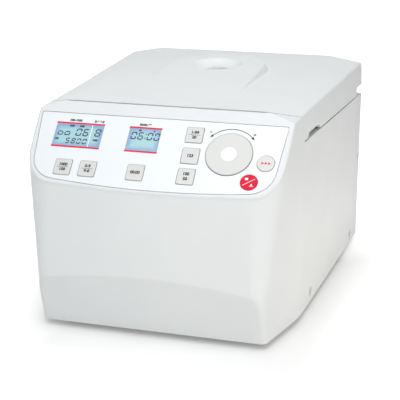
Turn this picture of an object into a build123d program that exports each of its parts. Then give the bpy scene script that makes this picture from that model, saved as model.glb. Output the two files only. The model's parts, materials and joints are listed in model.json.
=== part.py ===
"""Bench centrifuge with a hinged lid, a fixed-angle rotor and a sloping control panel.

Units are millimetres, +X is the operator's right, +Y the back and +Z up. The origin is on the bench,
under the middle of the instrument. The closed outside is one form. The housing and the lid are both
cut from it, so they line up whatever size is changed.
"""

import os
from math import cos, radians, sin, tan

from build123d import *

os.makedirs("parts", exist_ok=True)

# ---- Driving dimensions: the closed form ------------------------------------------------------
body_depth = 383.8          # front of the bow to the rear wall
rear_half_width = 142.4     # half width at the rear, at the bottom edge
side_taper = 0.0592         # each side comes in by this much per mm towards the front
side_draft = 0.0114         # and by this much per mm of height
foot_height = 6.0           # the rubber feet hold the bottom edge off the bench
shoulder_z = 148.0          # the front corners lean out fast up to here, and slowly above
form_top_z = 240.0          # above every surface; the roof is cut below it
bend_inset = 89.8           # the sides turn in, in front of a line this far behind the front
bend_radius = 150.0
nose_half_width = 117.6     # front corner at the shoulder, before it is rounded
nose_radius = 26.0
nose_top_half_width = 121.0 # and at form_top_z
toe_half_width = 104.0      # the same corner at the bottom edge
toe_radius = 10.0
rear_corner_radius = 4.0
bow_slope = 0.0516          # the front is bowed: slope of its ends, and the radius of its middle
bow_radius = 1700.0
chin_inset = 17.8           # the chin is a flat cut that starts this far behind the front, at the bottom
chin_slope = 0.31           # and runs forward by this much per mm of height
wall = 3.0                  # moulded wall of the housing and of the lid

# ---- Roof and control panel -------------------------------------------------------------------
panel_inset = 60.8          # the line where the panel meets the roof, behind the front
panel_z = 210.1
panel_angle = 47.57         # degrees from horizontal
roof_slope = 1.95           # degrees, rising to the back
crease_half_width = 97.5    # the roof is flat between two soft creases
crease_spread = 0.018       # which part towards the back by this much per mm
crease_radius = 60.0
hip_drop = 6.8              # outside them it falls by this much to each side
edge_radius = 2.5           # moulded outside edges
chin_radius = 6.0
lid_rear = (11.5, 212.0)    # top of the lid's sloping rear wall: in front of the rear, and z
lid_rear_angle = 18.0       # degrees that it leans back going down

# ---- Lid --------------------------------------------------------------------------------------
deck_z = 176.9              # top of the housing under the lid
lid_gap = 1.8               # dark line between the lid and the housing
lid_front_inset = 18.7      # front edge of the lid at its lower rim, behind the panel's line
lid_front_flat = 98.0       # half the straight middle of that edge
lid_corner_slope = 0.644    # the edge falls back outside it
lid_corner_radius = 20.0
lid_rake = 30.0             # degrees: the front edge leans forward going up
lid_step_inset = 34.0       # from here to the rear the lower rim is raised, clear of the hinges
lid_step_z = 188.0
lid_step_radius = 5.0
lid_relief_half_width = 60.0 # the rear rim is raised further here, to swing over the gasket
lid_relief_z = 193.0
grip_y = (-84.5, -32.0)     # finger grip in each side's lower rim
grip_height = 4.7
grip_slant = 5.0

# ---- Sight boss on the lid --------------------------------------------------------------------
rotor_y = 55.0              # the rotor turns about a vertical line here
boss_half_width = 50.5
boss_slope = 5.1            # degrees
boss_z = 222.9              # height of its top over the rotor
boss_front_y = -90.0
boss_skirt = 30.0           # degrees that its sides lean out
boss_depth = 16.0
boss_edge_radius = 2.0
dish_radius = 26.5
dish_depth = 6.0
glass_view_radius = 11.5
glass_radius = 14.0
glass_thickness = 3.0
glass_ledge = 1.5
glass_ring_height = 2.5
glass_chamfer = 0.3
well_wall = 3.5
sight_tube_wall = 2.0
sight_tube_height = 18.0
liner_thickness = 3.0
liner_clearance = 0.4
liner_rear_inset = 41.9
lid_plate_radius = 117.0
lid_plate_thickness = 2.0
lid_plate_chamfer = 0.5

# ---- Hinges -----------------------------------------------------------------------------------
hinge_inset = 19.9          # hinge line, in front of the rear
hinge_z = 198.0
hinge_x = 80.0
hinge_pin_radius = 3.0
hinge_eye_radius = 7.0
hinge_bracket_width = 10.0
hinge_arm_thickness = 3.0
hinge_foot = (14.0, 18.0)   # each bracket's foot on the deck, in front of and behind the hinge line
hinge_foot_height = 4.0
hinge_arm_reach = (48.0, 24.0)  # front and back of each arm's foot, in front of the hinge line
hinge_gap = 0.4             # side clearance between an arm and its bracket
running_fit = 0.05          # radial clearance of a turning shaft or pin
hinge_slot_clearance = 3.0  # round a bracket, in the lid's rear wall
hinge_slot_reach = 30.0     # the slot runs back from the hinge line by this much
hinge_arm_lean = 45.0       # degrees: where the arm meets its eye, below and above
hinge_arm_rise = 20.0

# ---- Lid lock ---------------------------------------------------------------------------------
striker_y = -92.0
striker_width = 16.0
striker_thickness = 4.0
striker_corner = 3.0
striker_foot = (40.0, 22.0)
bolt_radius = 4.0
bolt_z = 157.0
bolt_length = 40.0
bolt_travel = 14.0
bolt_chamfer = 0.8
bolt_rest_x = -5.0          # the bolt's tip with the lid unlocked
bolt_clearance = 1.0        # round the bolt, in the striker's square window
striker_clearance = 1.0
striker_swing = 4.5         # extra room in front, because the striker swings out in an arc
lock_block = (56.0, 34.0, 32.0)
solenoid_radius = 12.0
solenoid_length = 38.0

# ---- Chamber and rotor ------------------------------------------------------------------------
bowl_radius = 109.0
bowl_sheet = 1.2
bowl_flange = 8.8
bowl_floor_z = 58.0
bowl_corner = 8.0
dome_radius = 46.0
dome_top_z = 98.0
dome_corner = 6.0
dome_draft = 3.0
bowl_lip_radius = 2.0
gasket_inset = 2.0
gasket_width = 6.0
gasket_height = 3.4
gasket_round = 1.2
gasket_gap = 0.3            # to the closed lid
tube_count = 8
tube_angle = 30.0           # degrees from vertical
mouth_radius = 46.0         # where each tube enters the rotor
mouth_z = 152.0
sleeve_radius = 10.0
sleeve_bore_radius = 8.5
sleeve_room = 8.0           # between a sleeve's foot and the bowl
sleeve_floor = 5.0
collar_radius = 12.5
collar_height = 3.0
rotor_plate = 8.0
rotor_shell = 3.5
rotor_shell_length = 16.0
rotor_shell_gap = 3.0
hub_radius = 18.0
hub_bottom_z = 104.0
hub_top_z = 142.0
shaft_radius = 6.0
spindle_radius = 8.0
thread_radius = 5.0
nut_radius = 14.0
nut_height = 14.0
nut_flutes = 8
nut_flute_radius = 3.0
nut_flute_depth = 1.2
nut_chamfer = 1.5
thread_length = 12.0
rotor_hole_gap = 0.05
collar_gap = 0.4            # round a collar, in the flat cut for it in the rotor

# ---- Drive ------------------------------------------------------------------------------------
floor_z = 8.0               # underside of the steel floor plate
floor_sheet = 1.5
floor_inset = 4.5
mount_radius = 11.0
mount_height = 16.5
mount_round = 1.5
mount_spread = 48.0
motor_plate_size = 124.0
motor_plate_thickness = 4.0
motor_radius = 36.0
motor_top_z = 92.0
bearing_radius = 13.0
bearing_height = 8.0
seal_radius = 14.0
seal_lip = 2.0
seal_gap = 0.6              # to the turning spindle
motor_bore_gap = 1.0
motor_ribs = 5
motor_rib_pitch = 7.0
motor_rib_depth = 2.0
motor_chamfer = 3.0
shaft_lift = 2.0            # the shaft's foot stands this far off the motor's plate
shoulder_rise = (1.0, 3.0)  # the shaft widens into the spindle between these heights over the motor
floor_slot_x = 95.0
floor_slot_pitch = 8.0
floor_slot_count = 7
floor_slot_length = 40.0
board_x = 96.0
power_board_z = 18.0
power_board_size = (52.0, 150.0, 1.6)
heat_sink_width = 40.0
heat_sink_length = 90.0
heat_sink_base = 4.0
heat_sink_height = 24.0
heat_sink_pitch = 7.0
heat_sink_fins = 6

# ---- Control panel parts, placed by u to the right and v down the slope ------------------------
foil_half_width = 116.8
foil_top_v = 14.2
foil_corner_half_width = 110.6
foil_corner_v = 81.3
foil_apex_v = 91.6
foil_bow_radius = 850.0
foil_corner_radius = 24.0
foil_top_corner_radius = 2.0
foil_thickness = 1.0
foil_groove = 0.5
key_size = 15.4
key_corner = 1.5
key_depth = 9.0
key_proud = 0.7
key_travel = 0.6
key_clearance = 0.3
key_edge_radius = 0.4
key_column_u = 33.3
key_row_v = 71.1
key_places = {
    "key_program": (key_column_u, 28.9),
    "key_store": (key_column_u, 50.3),
    "key_pulse": (key_column_u, key_row_v),
    "key_speed": (-82.1, key_row_v),
    "key_ramp": (-58.5, key_row_v),
    "key_time": (-13.3, key_row_v),
}
round_key_radius = 7.7
round_key_places = {"key_start": (101.8, 52.3), "key_stop": (90.1, 71.7)}
dial_place = (67.8, 45.8)
dial_radius = 21.0
dial_proud = 1.0
dial_sunk = 0.6
dial_dimple = 7.15
dial_clearance = 0.4
dial_dimple_depth = 0.5
dial_edge_radius = 0.4
dial_shaft_radius = 3.0
encoder_bush_radius = 4.5
encoder_floor = 1.0
encoder_size = 14.0
display_v = (25.8, 48.8)
display_spans = {"speed_display": (-98.9, -53.2), "time_display": (-28.1, 1.6)}
display_rim = 2.5
display_sunk = 0.3          # the display window lies just under the foil's face
mat_gap = 0.1               # under a key that is pressed home
mat_thickness = 1.2
mat_margin = 1.5
mat_strip = 4.0
board_thickness = 1.6
board_spans = ((-104.0, 106.0), (24.0, 80.0))

# ---- Rear panel and feet ----------------------------------------------------------------------
window_half_width = 104.0
window_z = (18.0, 92.0)
window_corner = 6.0
rear_panel_sheet = 1.6
rear_panel_ledge = 6.0
rear_panel_rim = 4.0
grille_rows = 4
grille_pitch = 5.6
grille_web = 2.0
inlet_x = 48.0
inlet_z = 44.0
inlet_size = (30.0, 23.0)
inlet_cavity = (24.5, 17.0)
inlet_cavity_depth = 17.0
inlet_corner_cut = 4.0
inlet_depth = 18.0
inlet_pin_length = 14.0
inlet_pin = (2.0, 4.0)
inlet_pin_pitch = 7.0
inlet_pin_offset = 2.0
inlet_flange = (48.0, 29.0)
inlet_flange_corner = 4.0
flange_thickness = 2.2
fuse_z = 70.0
fuse_size = (30.0, 12.0)
fuse_front = (34.0, 15.0)
fuse_slot = (15.0, 2.0)
fuse_slot_depth = 1.0
trim_corner = 1.5           # corners of the fuse drawer's and the switch's fronts
switch_x = 86.0
switch_z = 52.0
switch_body = (19.0, 28.0)
switch_front = (23.0, 32.0)
switch_depth = 16.0
rocker_angle = 8.0          # the rocker leans this far each way
rocker_size = (14.0, 20.0)
rocker_gap = 1.6
rocker_well = 12.5
rocker_y = 181.5
rocker_valley = 7.0
rocker_crest = 8.5
rocker_tail = 4.0
fan_x = -60.0
fan_z = 46.0
fan_size = 60.0
fan_depth = 20.0
fan_bore_radius = 27.5
fan_hub_radius = 12.0
fan_tip_gap = 1.2
fan_blades = 7
fan_blade_thickness = 1.6
fan_blade_pitch = 40.0
fan_struts = 3
fan_strut_width = 4.0
fan_strut_depth = 4.0
fan_strut_reach = 1.0       # each strut and blade runs this far into what holds it
fan_corner = 4.0
fan_blade_share = 0.8       # blade chord as a share of the impeller's depth
foot_radius = 11.0
foot_chamfer = 1.0
foot_recess_radius = 4.5
foot_recess = 4.0
foot_screw_radius = 3.8
foot_screw_head = 2.2
side_screw_places = ((182.9, 102.0), (147.9, 15.0), (-53.7, 15.6))  # (y, z) on each side
side_recess_radius = 5.3
side_recess_depth = 1.6
side_screw_radius = 4.4
side_screw_head = 1.1
side_screw_socket = 2.2
foot_places = ((96.0, -146.0), (118.0, 168.0))

rear_y = body_depth / 2
front_y = -rear_y
bend_y = front_y + bend_inset
chin_y = front_y + chin_inset
panel_y = front_y + panel_inset
lid_front_y = panel_y + lid_front_inset
lid_step_y = rear_y - lid_step_inset
hinge_y = rear_y - hinge_inset
hinge_arm_y = tuple(hinge_y - reach for reach in hinge_arm_reach)
bottom_z = foot_height
lid_rim_z = deck_z + lid_gap
striker_window = 2 * (bolt_radius + bolt_clearance)
striker_room = (
    striker_thickness + 2 * striker_clearance,
    striker_width + striker_swing + 2 * striker_clearance,
)
rake = tan(radians(lid_rake))
roof_rise = tan(radians(roof_slope))

panel = Plane(
    origin=(0, panel_y, panel_z),
    x_dir=(1, 0, 0),
    z_dir=(0, -sin(radians(panel_angle)), cos(radians(panel_angle))),
)
boss_plane = Plane(
    origin=(0, rotor_y, boss_z),
    x_dir=(1, 0, 0),
    z_dir=(0, -sin(radians(boss_slope)), cos(radians(boss_slope))),
)
boss_section = Plane(
    origin=boss_plane.origin,
    x_dir=(1, 0, 0),
    z_dir=(0, -cos(radians(boss_slope)), -sin(radians(boss_slope))),
)
boss_axis = Axis(boss_plane.origin, boss_plane.z_dir)
panel_axis = Axis(panel.origin, panel.z_dir)
chin_plane = Plane(origin=(0, chin_y, bottom_z), x_dir=(1, 0, 0), z_dir=(0, -1, -chin_slope))
rotor_axis = Axis((0, rotor_y, 0), (0, 0, 1))
rotor_section = Plane(origin=(0, rotor_y, 0), x_dir=(1, 0, 0), z_dir=(0, -1, 0))


def side_x(y, z):
    """Half width of the plain side at depth y and height z."""
    return rear_half_width - side_draft * (z - bottom_z) - side_taper * (rear_y - y)


def roof_z(y):
    """Height of the flat middle of the roof."""
    return panel_z + roof_rise * (y - panel_y)


def mirrored(points):
    """A right-hand run of points, back to front, joined to its mirror image."""
    return points + [(-x, y) for x, y in reversed(points)]


def outline(z, corner_half_width, corner_radius, inset):
    """Plan outline of the closed form at height z, pulled in by inset."""
    apex_y = front_y - bow_radius * (1 / cos(bow_slope) - 1) + inset
    corner_x = corner_half_width - inset
    half = [
        (side_x(rear_y, z) - inset, rear_y - inset),
        (side_x(bend_y, z) - inset, bend_y),
        (corner_x, apex_y + bow_slope * corner_x),
    ]
    points = half + [(0, apex_y)] + [(-x, y) for x, y in reversed(half)]
    corner = corner_radius - min(inset, corner_radius / 2)
    rear = rear_corner_radius - min(inset, rear_corner_radius / 2)
    radii = [rear, bend_radius, corner, bow_radius, corner, bend_radius, rear]
    return FilletPolyline(*points, radius=radii, close=True)


def closed_form(inset):
    """The whole outside of the closed instrument, with every wall pulled in by inset."""
    with BuildPart() as form:
        for z, corner_half_width, corner_radius in (
            (bottom_z, toe_half_width, toe_radius),
            (shoulder_z, nose_half_width, nose_radius),
            (form_top_z, nose_top_half_width, nose_radius),
        ):
            with BuildSketch(Plane.XY.offset(z)):
                with BuildLine():
                    outline(z, corner_half_width, corner_radius, inset)
                make_face()
        loft(ruled=True)
        add(roof_block(inset), mode=Mode.INTERSECT)
        split(bisect_by=panel.offset(-inset), keep=Keep.BOTTOM)
        split(bisect_by=chin_plane.offset(-inset), keep=Keep.BOTTOM)
    return form.part


def roof_block(inset):
    """Everything under the creased roof, from in front of the body to behind it."""
    overrun = 25.0
    with BuildPart() as block:
        for y in (-rear_y - overrun, rear_y + overrun):
            crease_x = crease_half_width + crease_spread * (y - panel_y)
            edge_x = side_x(y, roof_z(y))
            fall = hip_drop / (edge_x - crease_x)
            top = roof_z(y) - inset
            outer_x = edge_x + overrun / 2
            with BuildSketch(Plane(origin=(0, y, 0), x_dir=(1, 0, 0), z_dir=(0, -1, 0))):
                with BuildLine():
                    FilletPolyline(
                        (outer_x, 0),
                        (outer_x, top - fall * (outer_x - crease_x)),
                        (crease_x, top),
                        (-crease_x, top),
                        (-outer_x, top - fall * (outer_x - crease_x)),
                        (-outer_x, 0),
                        radius=[0, 0, crease_radius, crease_radius, 0, 0],
                        close=True,
                    )
                make_face()
        loft(ruled=True)
    return block.part


def lid_space(inset, floor):
    """Everything behind the raked front edge of the lid, from floor up."""
    far = 220.0
    front = lid_front_y + inset - rake * (floor - lid_rim_z)
    side = front + lid_corner_slope * (far - lid_front_flat)
    height = form_top_z - floor
    with BuildPart() as space:
        with BuildSketch(Plane.XY.offset(floor)):
            with BuildLine():
                FilletPolyline(
                    *mirrored([(far, 2 * far), (far, side), (lid_front_flat, front)]),
                    radius=[0, 0, lid_corner_radius, lid_corner_radius, 0, 0],
                    close=True,
                )
            make_face()
        extrude(amount=height / cos(radians(lid_rake)), dir=(0, -rake, 1))
    return space.part


def boss_form(inset, depth):
    """The tongue over the rotor: parallel sides, a round back end and leaning skirts."""
    half = boss_half_width - inset
    length = rotor_y - boss_front_y
    with BuildPart() as boss:
        with BuildSketch(boss_plane.offset(-inset)):
            with Locations((0, -length / 2)):
                Rectangle(2 * half, length)
            Circle(half)
        extrude(amount=-depth, taper=-boss_skirt)
    return boss.part


def key_hole(place, size, is_round, clearance):
    """Sketch of one key's opening at (u, v) on the panel."""
    u, v = place
    with Locations((u, -v)):
        if is_round:
            Circle(size + clearance)
        else:
            RectangleRounded(size + 2 * clearance, size + 2 * clearance, key_corner)


def panel_openings(clearance):
    """Sketch of every opening through the panel: keys, dial seat and displays."""
    for place in key_places.values():
        key_hole(place, key_size, False, clearance)
    for place in round_key_places.values():
        key_hole(place, round_key_radius, True, clearance)
    for u_low, u_high in display_spans.values():
        with Locations(((u_low + u_high) / 2, -sum(display_v) / 2)):
            Rectangle(u_high - u_low, display_v[1] - display_v[0])


def foil_outline(spread):
    """Edge of the panel foil, let out by spread."""
    FilletPolyline(
        (foil_half_width + spread, -foil_top_v + spread),
        (foil_corner_half_width + spread, -foil_corner_v - spread),
        (0, -foil_apex_v - spread),
        (-foil_corner_half_width - spread, -foil_corner_v - spread),
        (-foil_half_width - spread, -foil_top_v + spread),
        radius=[
            foil_top_corner_radius,
            foil_corner_radius,
            foil_bow_radius,
            foil_corner_radius,
            foil_top_corner_radius,
        ],
        close=True,
    )


def roof_edges(form):
    """Edges round the roof and the panel, where the walls meet them."""
    low = panel_z - hip_drop
    upper = [face for face in form.faces() if face.center().Z > low and face.normal_at().Z > 0.9]
    edges = [edge for face in upper + form.faces().filter_by(panel) for edge in face.edges()]
    middles = [edge.center() for edge in edges]
    return [
        edge
        for edge in edges
        if sum((edge.center() - middle).length < 0.01 for middle in middles) == 1
    ]


def chin_edges(form):
    """The edges of the chin, but not the one on the bench side."""
    chin = form.faces().filter_by(chin_plane).sort_by(Axis.Y)[0]
    return [edge for edge in chin.edges() if edge.center().Z > bottom_z + 1]


def lid_share(form, inset, floor):
    """The part of a closed form that lifts with the lid, from floor up."""
    rear = Plane(
        origin=(0, rear_y - lid_rear[0], lid_rear[1]),
        x_dir=(1, 0, 0),
        z_dir=(0, cos(radians(lid_rear_angle)), sin(radians(lid_rear_angle))),
    )
    with BuildPart() as share:
        add(form)
        add(lid_space(inset, floor), mode=Mode.INTERSECT)
        split(bisect_by=rear.offset(-inset), keep=Keep.BOTTOM)
    return share.part


def hinge_eye_point(angle):
    """(y, z) on the round of a hinge eye, angle degrees back from its top."""
    return (
        hinge_y + hinge_eye_radius * sin(radians(angle)),
        hinge_z + hinge_eye_radius * cos(radians(angle)),
    )


def both_sides(x):
    """The two mirrored places at plus and minus x."""
    return [(-x, 0), (x, 0)]


def panel_point(place):
    """(u, v) on the panel as local coordinates of its plane."""
    return (place[0], -place[1])


def boss_pocket():
    """The hollow inside the boss, which leaves the well under the dish solid."""
    with BuildPart() as pocket:
        add(boss_form(wall, boss_depth))
        with BuildSketch(boss_plane.offset(-wall)):
            Circle(dish_radius + wall)
        extrude(amount=-2 * boss_depth, both=True, mode=Mode.SUBTRACT)
    return pocket.part


def side_screw_planes():
    """Planes on the skin at the cover screws, facing outwards."""
    slope = Vector(1, -side_taper, side_draft).normalized()
    planes = []
    for y, z in side_screw_places:
        x = side_x(y, z)
        planes.append(Plane(origin=(x, y, z), x_dir=(0, 0, 1), z_dir=slope))
        planes.append(Plane(origin=(-x, y, z), x_dir=(0, 0, 1), z_dir=(-slope.X, slope.Y, slope.Z)))
    return planes


def foot_locations(z):
    """The four feet, at height z."""
    return [(side * x, y, z) for x, y in foot_places for side in (-1, 1)]


def inlet_mouth():
    """Sketch of the appliance inlet: a rectangle with its two upper corners cut off."""
    half_width, half_height = inlet_cavity[0] / 2, inlet_cavity[1] / 2
    Polygon(
        (-half_width, -half_height),
        (half_width, -half_height),
        (half_width, half_height - inlet_corner_cut),
        (half_width - inlet_corner_cut, half_height),
        (-half_width + inlet_corner_cut, half_height),
        (-half_width, half_height - inlet_corner_cut),
        align=None,
    )


with BuildPart() as skin:
    add(closed_form(0))
    fillet(roof_edges(skin), edge_radius)
    fillet(chin_edges(skin), chin_radius)

inside = closed_form(wall)
outside = skin.part

# ---- Lid --------------------------------------------------------------------------------------
flange_top = deck_z + bowl_sheet
gasket_top = flange_top + gasket_height
plate_z = gasket_top + gasket_gap
liner_z = plate_z + lid_plate_thickness
liner_top = liner_z + liner_thickness
ledge_w = -dish_depth - glass_ledge
glass_w = ledge_w - glass_thickness
ring_w = glass_w - glass_ring_height
pocket = boss_pocket()

with BuildPart() as boss:
    add(boss_form(0, boss_depth))
    fillet(boss.faces().sort_by(boss_axis)[-1].edges(), boss_edge_radius)

with BuildPart() as lid_cover:
    add(lid_share(outside, 0, lid_rim_z))
    add(boss.part)
    add(lid_share(inside, wall, lid_rim_z - lid_gap), mode=Mode.SUBTRACT)
    add(pocket, mode=Mode.SUBTRACT)
    # the well that holds the sight glass
    with BuildSketch(boss_plane.offset(ring_w)):
        Circle(glass_radius + well_wall)
    extrude(amount=-ring_w - dish_depth)
    with BuildSketch(boss_section):
        with BuildLine():
            Line((0, -dish_depth), (glass_view_radius, -dish_depth))
            bank = TangentArc((glass_view_radius, -dish_depth), (dish_radius, 0), tangent=(1, 0))
            Line(bank @ 1, (dish_radius, dish_depth))
            Line((dish_radius, dish_depth), (0, dish_depth))
            Line((0, dish_depth), (0, -dish_depth))
        make_face()
    revolve(axis=boss_axis, mode=Mode.SUBTRACT)
    with BuildSketch(boss_plane):
        Circle(glass_view_radius)
    extrude(amount=ledge_w, mode=Mode.SUBTRACT)
    with BuildSketch(boss_plane.offset(ring_w)):
        Circle(glass_radius)
    extrude(amount=ledge_w - ring_w, mode=Mode.SUBTRACT)
    # finger grips in both lower rims
    with BuildSketch(Plane.YZ):
        with BuildLine():
            Polyline(
                (grip_y[0] - grip_slant, lid_rim_z - grip_slant),
                (grip_y[0] + grip_slant, lid_rim_z + grip_height),
                (grip_y[1] - grip_slant, lid_rim_z + grip_height),
                (grip_y[1] + grip_slant, lid_rim_z - grip_slant),
                close=True,
            )
        make_face()
    extrude(amount=2 * rear_half_width, both=True, mode=Mode.SUBTRACT)
    # the rim steps up behind, clear of the hinges
    with BuildSketch(Plane.YZ):
        with Locations((lid_step_y, lid_step_z)):
            RectangleRounded(
                body_depth, 8 * lid_step_radius, lid_step_radius, align=(Align.MIN, Align.MAX)
            )
    extrude(amount=2 * rear_half_width, both=True, mode=Mode.SUBTRACT)
    # and further up between the hinges
    with BuildSketch(Plane.XY.offset(lid_relief_z)):
        with Locations((0, lid_step_y)):
            Rectangle(2 * lid_relief_half_width, body_depth, align=(Align.CENTER, Align.MIN))
    extrude(amount=deck_z - lid_relief_z, mode=Mode.SUBTRACT)
    # a slot in the back wall for each hinge bracket to swing through
    with BuildSketch(Plane.XZ.offset(-hinge_y)):
        for x, _ in both_sides(hinge_x):
            with Locations((x, hinge_z + hinge_eye_radius)):
                Rectangle(
                    hinge_bracket_width + 2 * hinge_slot_clearance,
                    body_depth,
                    align=(Align.CENTER, Align.MAX),
                )
    extrude(amount=-hinge_slot_reach, mode=Mode.SUBTRACT)
lid_cover.part.label = "lid_cover"
export_step(lid_cover.part, "parts/lid_cover.step")

with BuildPart() as sight_glass:
    with BuildSketch(boss_plane.offset(glass_w)):
        Circle(glass_radius)
    extrude(amount=glass_thickness)
    chamfer(sight_glass.edges(), glass_chamfer)
sight_glass.part.label = "sight_glass"
export_step(sight_glass.part, "parts/sight_glass.step")

with BuildPart() as glass_ring:
    with BuildSketch(boss_plane.offset(ring_w)):
        Circle(glass_radius)
        Circle(glass_view_radius, mode=Mode.SUBTRACT)
    extrude(amount=glass_ring_height)
glass_ring.part.label = "glass_ring"
export_step(glass_ring.part, "parts/glass_ring.step")

liner_room = closed_form(wall + liner_clearance)
with BuildPart() as lid_liner:
    add(lid_share(liner_room, wall + liner_clearance, liner_z))
    with BuildSketch(Plane.XY.offset(liner_top)):
        Rectangle(4 * rear_half_width, 4 * rear_half_width)
    extrude(amount=form_top_z, mode=Mode.SUBTRACT)
    with BuildSketch(Plane.XY.offset(liner_z)):
        with Locations((0, rear_y - liner_rear_inset)):
            Rectangle(4 * rear_half_width, body_depth, align=(Align.CENTER, Align.MIN))
    extrude(amount=liner_thickness, mode=Mode.SUBTRACT)
    with BuildSketch(Plane.XY.offset(liner_z)):
        with Locations((0, rotor_y)):
            Circle(lid_plate_radius)
    extrude(amount=liner_thickness)
    with BuildSketch(Plane.XY.offset(liner_top)):
        with Locations((0, rotor_y)):
            Circle(glass_radius + sight_tube_wall)
    extrude(amount=sight_tube_height)
    with BuildSketch(Plane.XY.offset(liner_z)):
        with Locations((0, rotor_y)):
            Circle(glass_radius)
    extrude(amount=liner_thickness + sight_tube_height, mode=Mode.SUBTRACT)
lid_liner.part.label = "lid_liner"
export_step(lid_liner.part, "parts/lid_liner.step")

with BuildPart() as lid_plate:
    with BuildSketch(Plane.XY.offset(plate_z)):
        with Locations((0, rotor_y)):
            Circle(lid_plate_radius)
            Circle(glass_radius, mode=Mode.SUBTRACT)
    extrude(amount=lid_plate_thickness)
    chamfer(lid_plate.faces().sort_by(Axis.Z)[0].edges().sort_by(SortBy.LENGTH)[-1], lid_plate_chamfer)
lid_plate.part.label = "lid_plate"
export_step(lid_plate.part, "parts/lid_plate.step")

with BuildPart() as lid_striker:
    with BuildSketch(Plane.YZ.offset(-striker_thickness / 2)):
        with Locations((striker_y, liner_z)):
            Rectangle(striker_width, liner_z - bolt_z, align=(Align.CENTER, Align.MAX))
        with Locations((striker_y, bolt_z)):
            RectangleRounded(striker_width, striker_width, striker_corner)
            Rectangle(striker_window, striker_window, mode=Mode.SUBTRACT)
    extrude(amount=striker_thickness)
    with BuildSketch(Plane.XY.offset(liner_z)):
        with Locations((0, striker_y)):
            RectangleRounded(*striker_foot, striker_thickness)
    extrude(amount=-striker_thickness / 2)
lid_striker.part.label = "lid_striker"
export_step(lid_striker.part, "parts/lid_striker.step")

with BuildPart() as hinge_arms:
    for x, _ in both_sides(hinge_x):
        inner = hinge_bracket_width / 2 + hinge_gap
        for side in (-1, 1):
            near = x + side * inner - (hinge_arm_thickness if side < 0 else 0)
            with BuildSketch(Plane.YZ.offset(near)):
                with BuildLine():
                    Polyline(
                        (hinge_arm_y[0], liner_top),
                        (hinge_arm_y[1], liner_top),
                        hinge_eye_point(180 - hinge_arm_lean),
                        hinge_eye_point(-hinge_arm_rise),
                        close=True,
                    )
                make_face()
                with Locations((hinge_y, hinge_z)):
                    Circle(hinge_eye_radius)
                    Circle(hinge_pin_radius + running_fit, mode=Mode.SUBTRACT)
            extrude(amount=hinge_arm_thickness)
        with BuildSketch(Plane.XY.offset(liner_top)):
            with Locations((x, sum(hinge_arm_y) / 2)):
                Rectangle(2 * (inner + hinge_arm_thickness), hinge_arm_y[1] - hinge_arm_y[0])
        extrude(amount=hinge_arm_thickness)
hinge_arms.part.label = "hinge_arms"
export_step(hinge_arms.part, "parts/hinge_arms.step")

with BuildPart() as hinge_brackets:
    for x, _ in both_sides(hinge_x):
        with BuildSketch(Plane.YZ.offset(x - hinge_bracket_width / 2)):
            with Locations((hinge_y - hinge_foot[0], deck_z)):
                Rectangle(sum(hinge_foot), hinge_foot_height, align=(Align.MIN, Align.MIN))
            with Locations((hinge_y, deck_z)):
                Rectangle(hinge_bracket_width, hinge_z - deck_z, align=(Align.CENTER, Align.MIN))
            with Locations((hinge_y, hinge_z)):
                Circle(hinge_eye_radius)
                Circle(hinge_pin_radius, mode=Mode.SUBTRACT)
        extrude(amount=hinge_bracket_width)
hinge_brackets.part.label = "hinge_brackets"
export_step(hinge_brackets.part, "parts/hinge_brackets.step")

with BuildPart() as hinge_pins:
    reach = hinge_bracket_width / 2 + hinge_gap + hinge_arm_thickness
    for x, _ in both_sides(hinge_x):
        with BuildSketch(Plane.YZ.offset(x - reach)):
            with Locations((hinge_y, hinge_z)):
                Circle(hinge_pin_radius)
        extrude(amount=2 * reach)
hinge_pins.part.label = "hinge_pins"
export_step(hinge_pins.part, "parts/hinge_pins.step")

# ---- Housing ----------------------------------------------------------------------------------
with BuildPart() as hollow:
    add(inside)
    add(lid_space(-lid_gap - wall, deck_z - wall), mode=Mode.SUBTRACT)

with BuildPart() as housing:
    add(outside)
    add(lid_space(-lid_gap, deck_z), mode=Mode.SUBTRACT)
    add(hollow.part, mode=Mode.SUBTRACT)
    # seat of the panel foil, and the openings under it
    with BuildSketch(panel):
        with BuildLine():
            foil_outline(foil_groove)
        make_face()
    extrude(amount=-foil_thickness, mode=Mode.SUBTRACT)
    with BuildSketch(panel):
        panel_openings(key_clearance)
        with Locations(panel_point(dial_place)):
            Circle(encoder_bush_radius + running_fit)
    extrude(amount=-wall - foil_thickness, mode=Mode.SUBTRACT)
    # chamber opening, striker slot and rear window
    with BuildSketch(Plane.XY.offset(deck_z)):
        with Locations((0, rotor_y)):
            Circle(bowl_radius + bowl_sheet + bowl_lip_radius)
        with Locations((0, striker_y - striker_swing / 2)):
            Rectangle(*striker_room)
    extrude(amount=-2 * wall, mode=Mode.SUBTRACT)
    with BuildSketch(Plane.XZ.offset(-rear_y)):
        with Locations((0, sum(window_z) / 2)):
            RectangleRounded(2 * window_half_width, window_z[1] - window_z[0], window_corner)
    extrude(amount=2 * wall, mode=Mode.SUBTRACT)
    # a shallow recess round each cover screw
    for place in side_screw_planes():
        with BuildSketch(place):
            Circle(side_recess_radius)
        extrude(amount=-side_recess_depth, mode=Mode.SUBTRACT)
housing.part.label = "housing"
export_step(housing.part, "parts/housing.step")

with BuildPart() as side_screws:
    for place in side_screw_planes():
        with BuildSketch(place.offset(-side_recess_depth)):
            Circle(side_screw_radius)
        extrude(amount=side_screw_head)
        with BuildSketch(place.offset(-side_recess_depth + side_screw_head)):
            RegularPolygon(side_screw_socket, 6)
        extrude(amount=-side_screw_head / 2, mode=Mode.SUBTRACT)
side_screws.part.label = "side_screws"
export_step(side_screws.part, "parts/side_screws.step")

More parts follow.
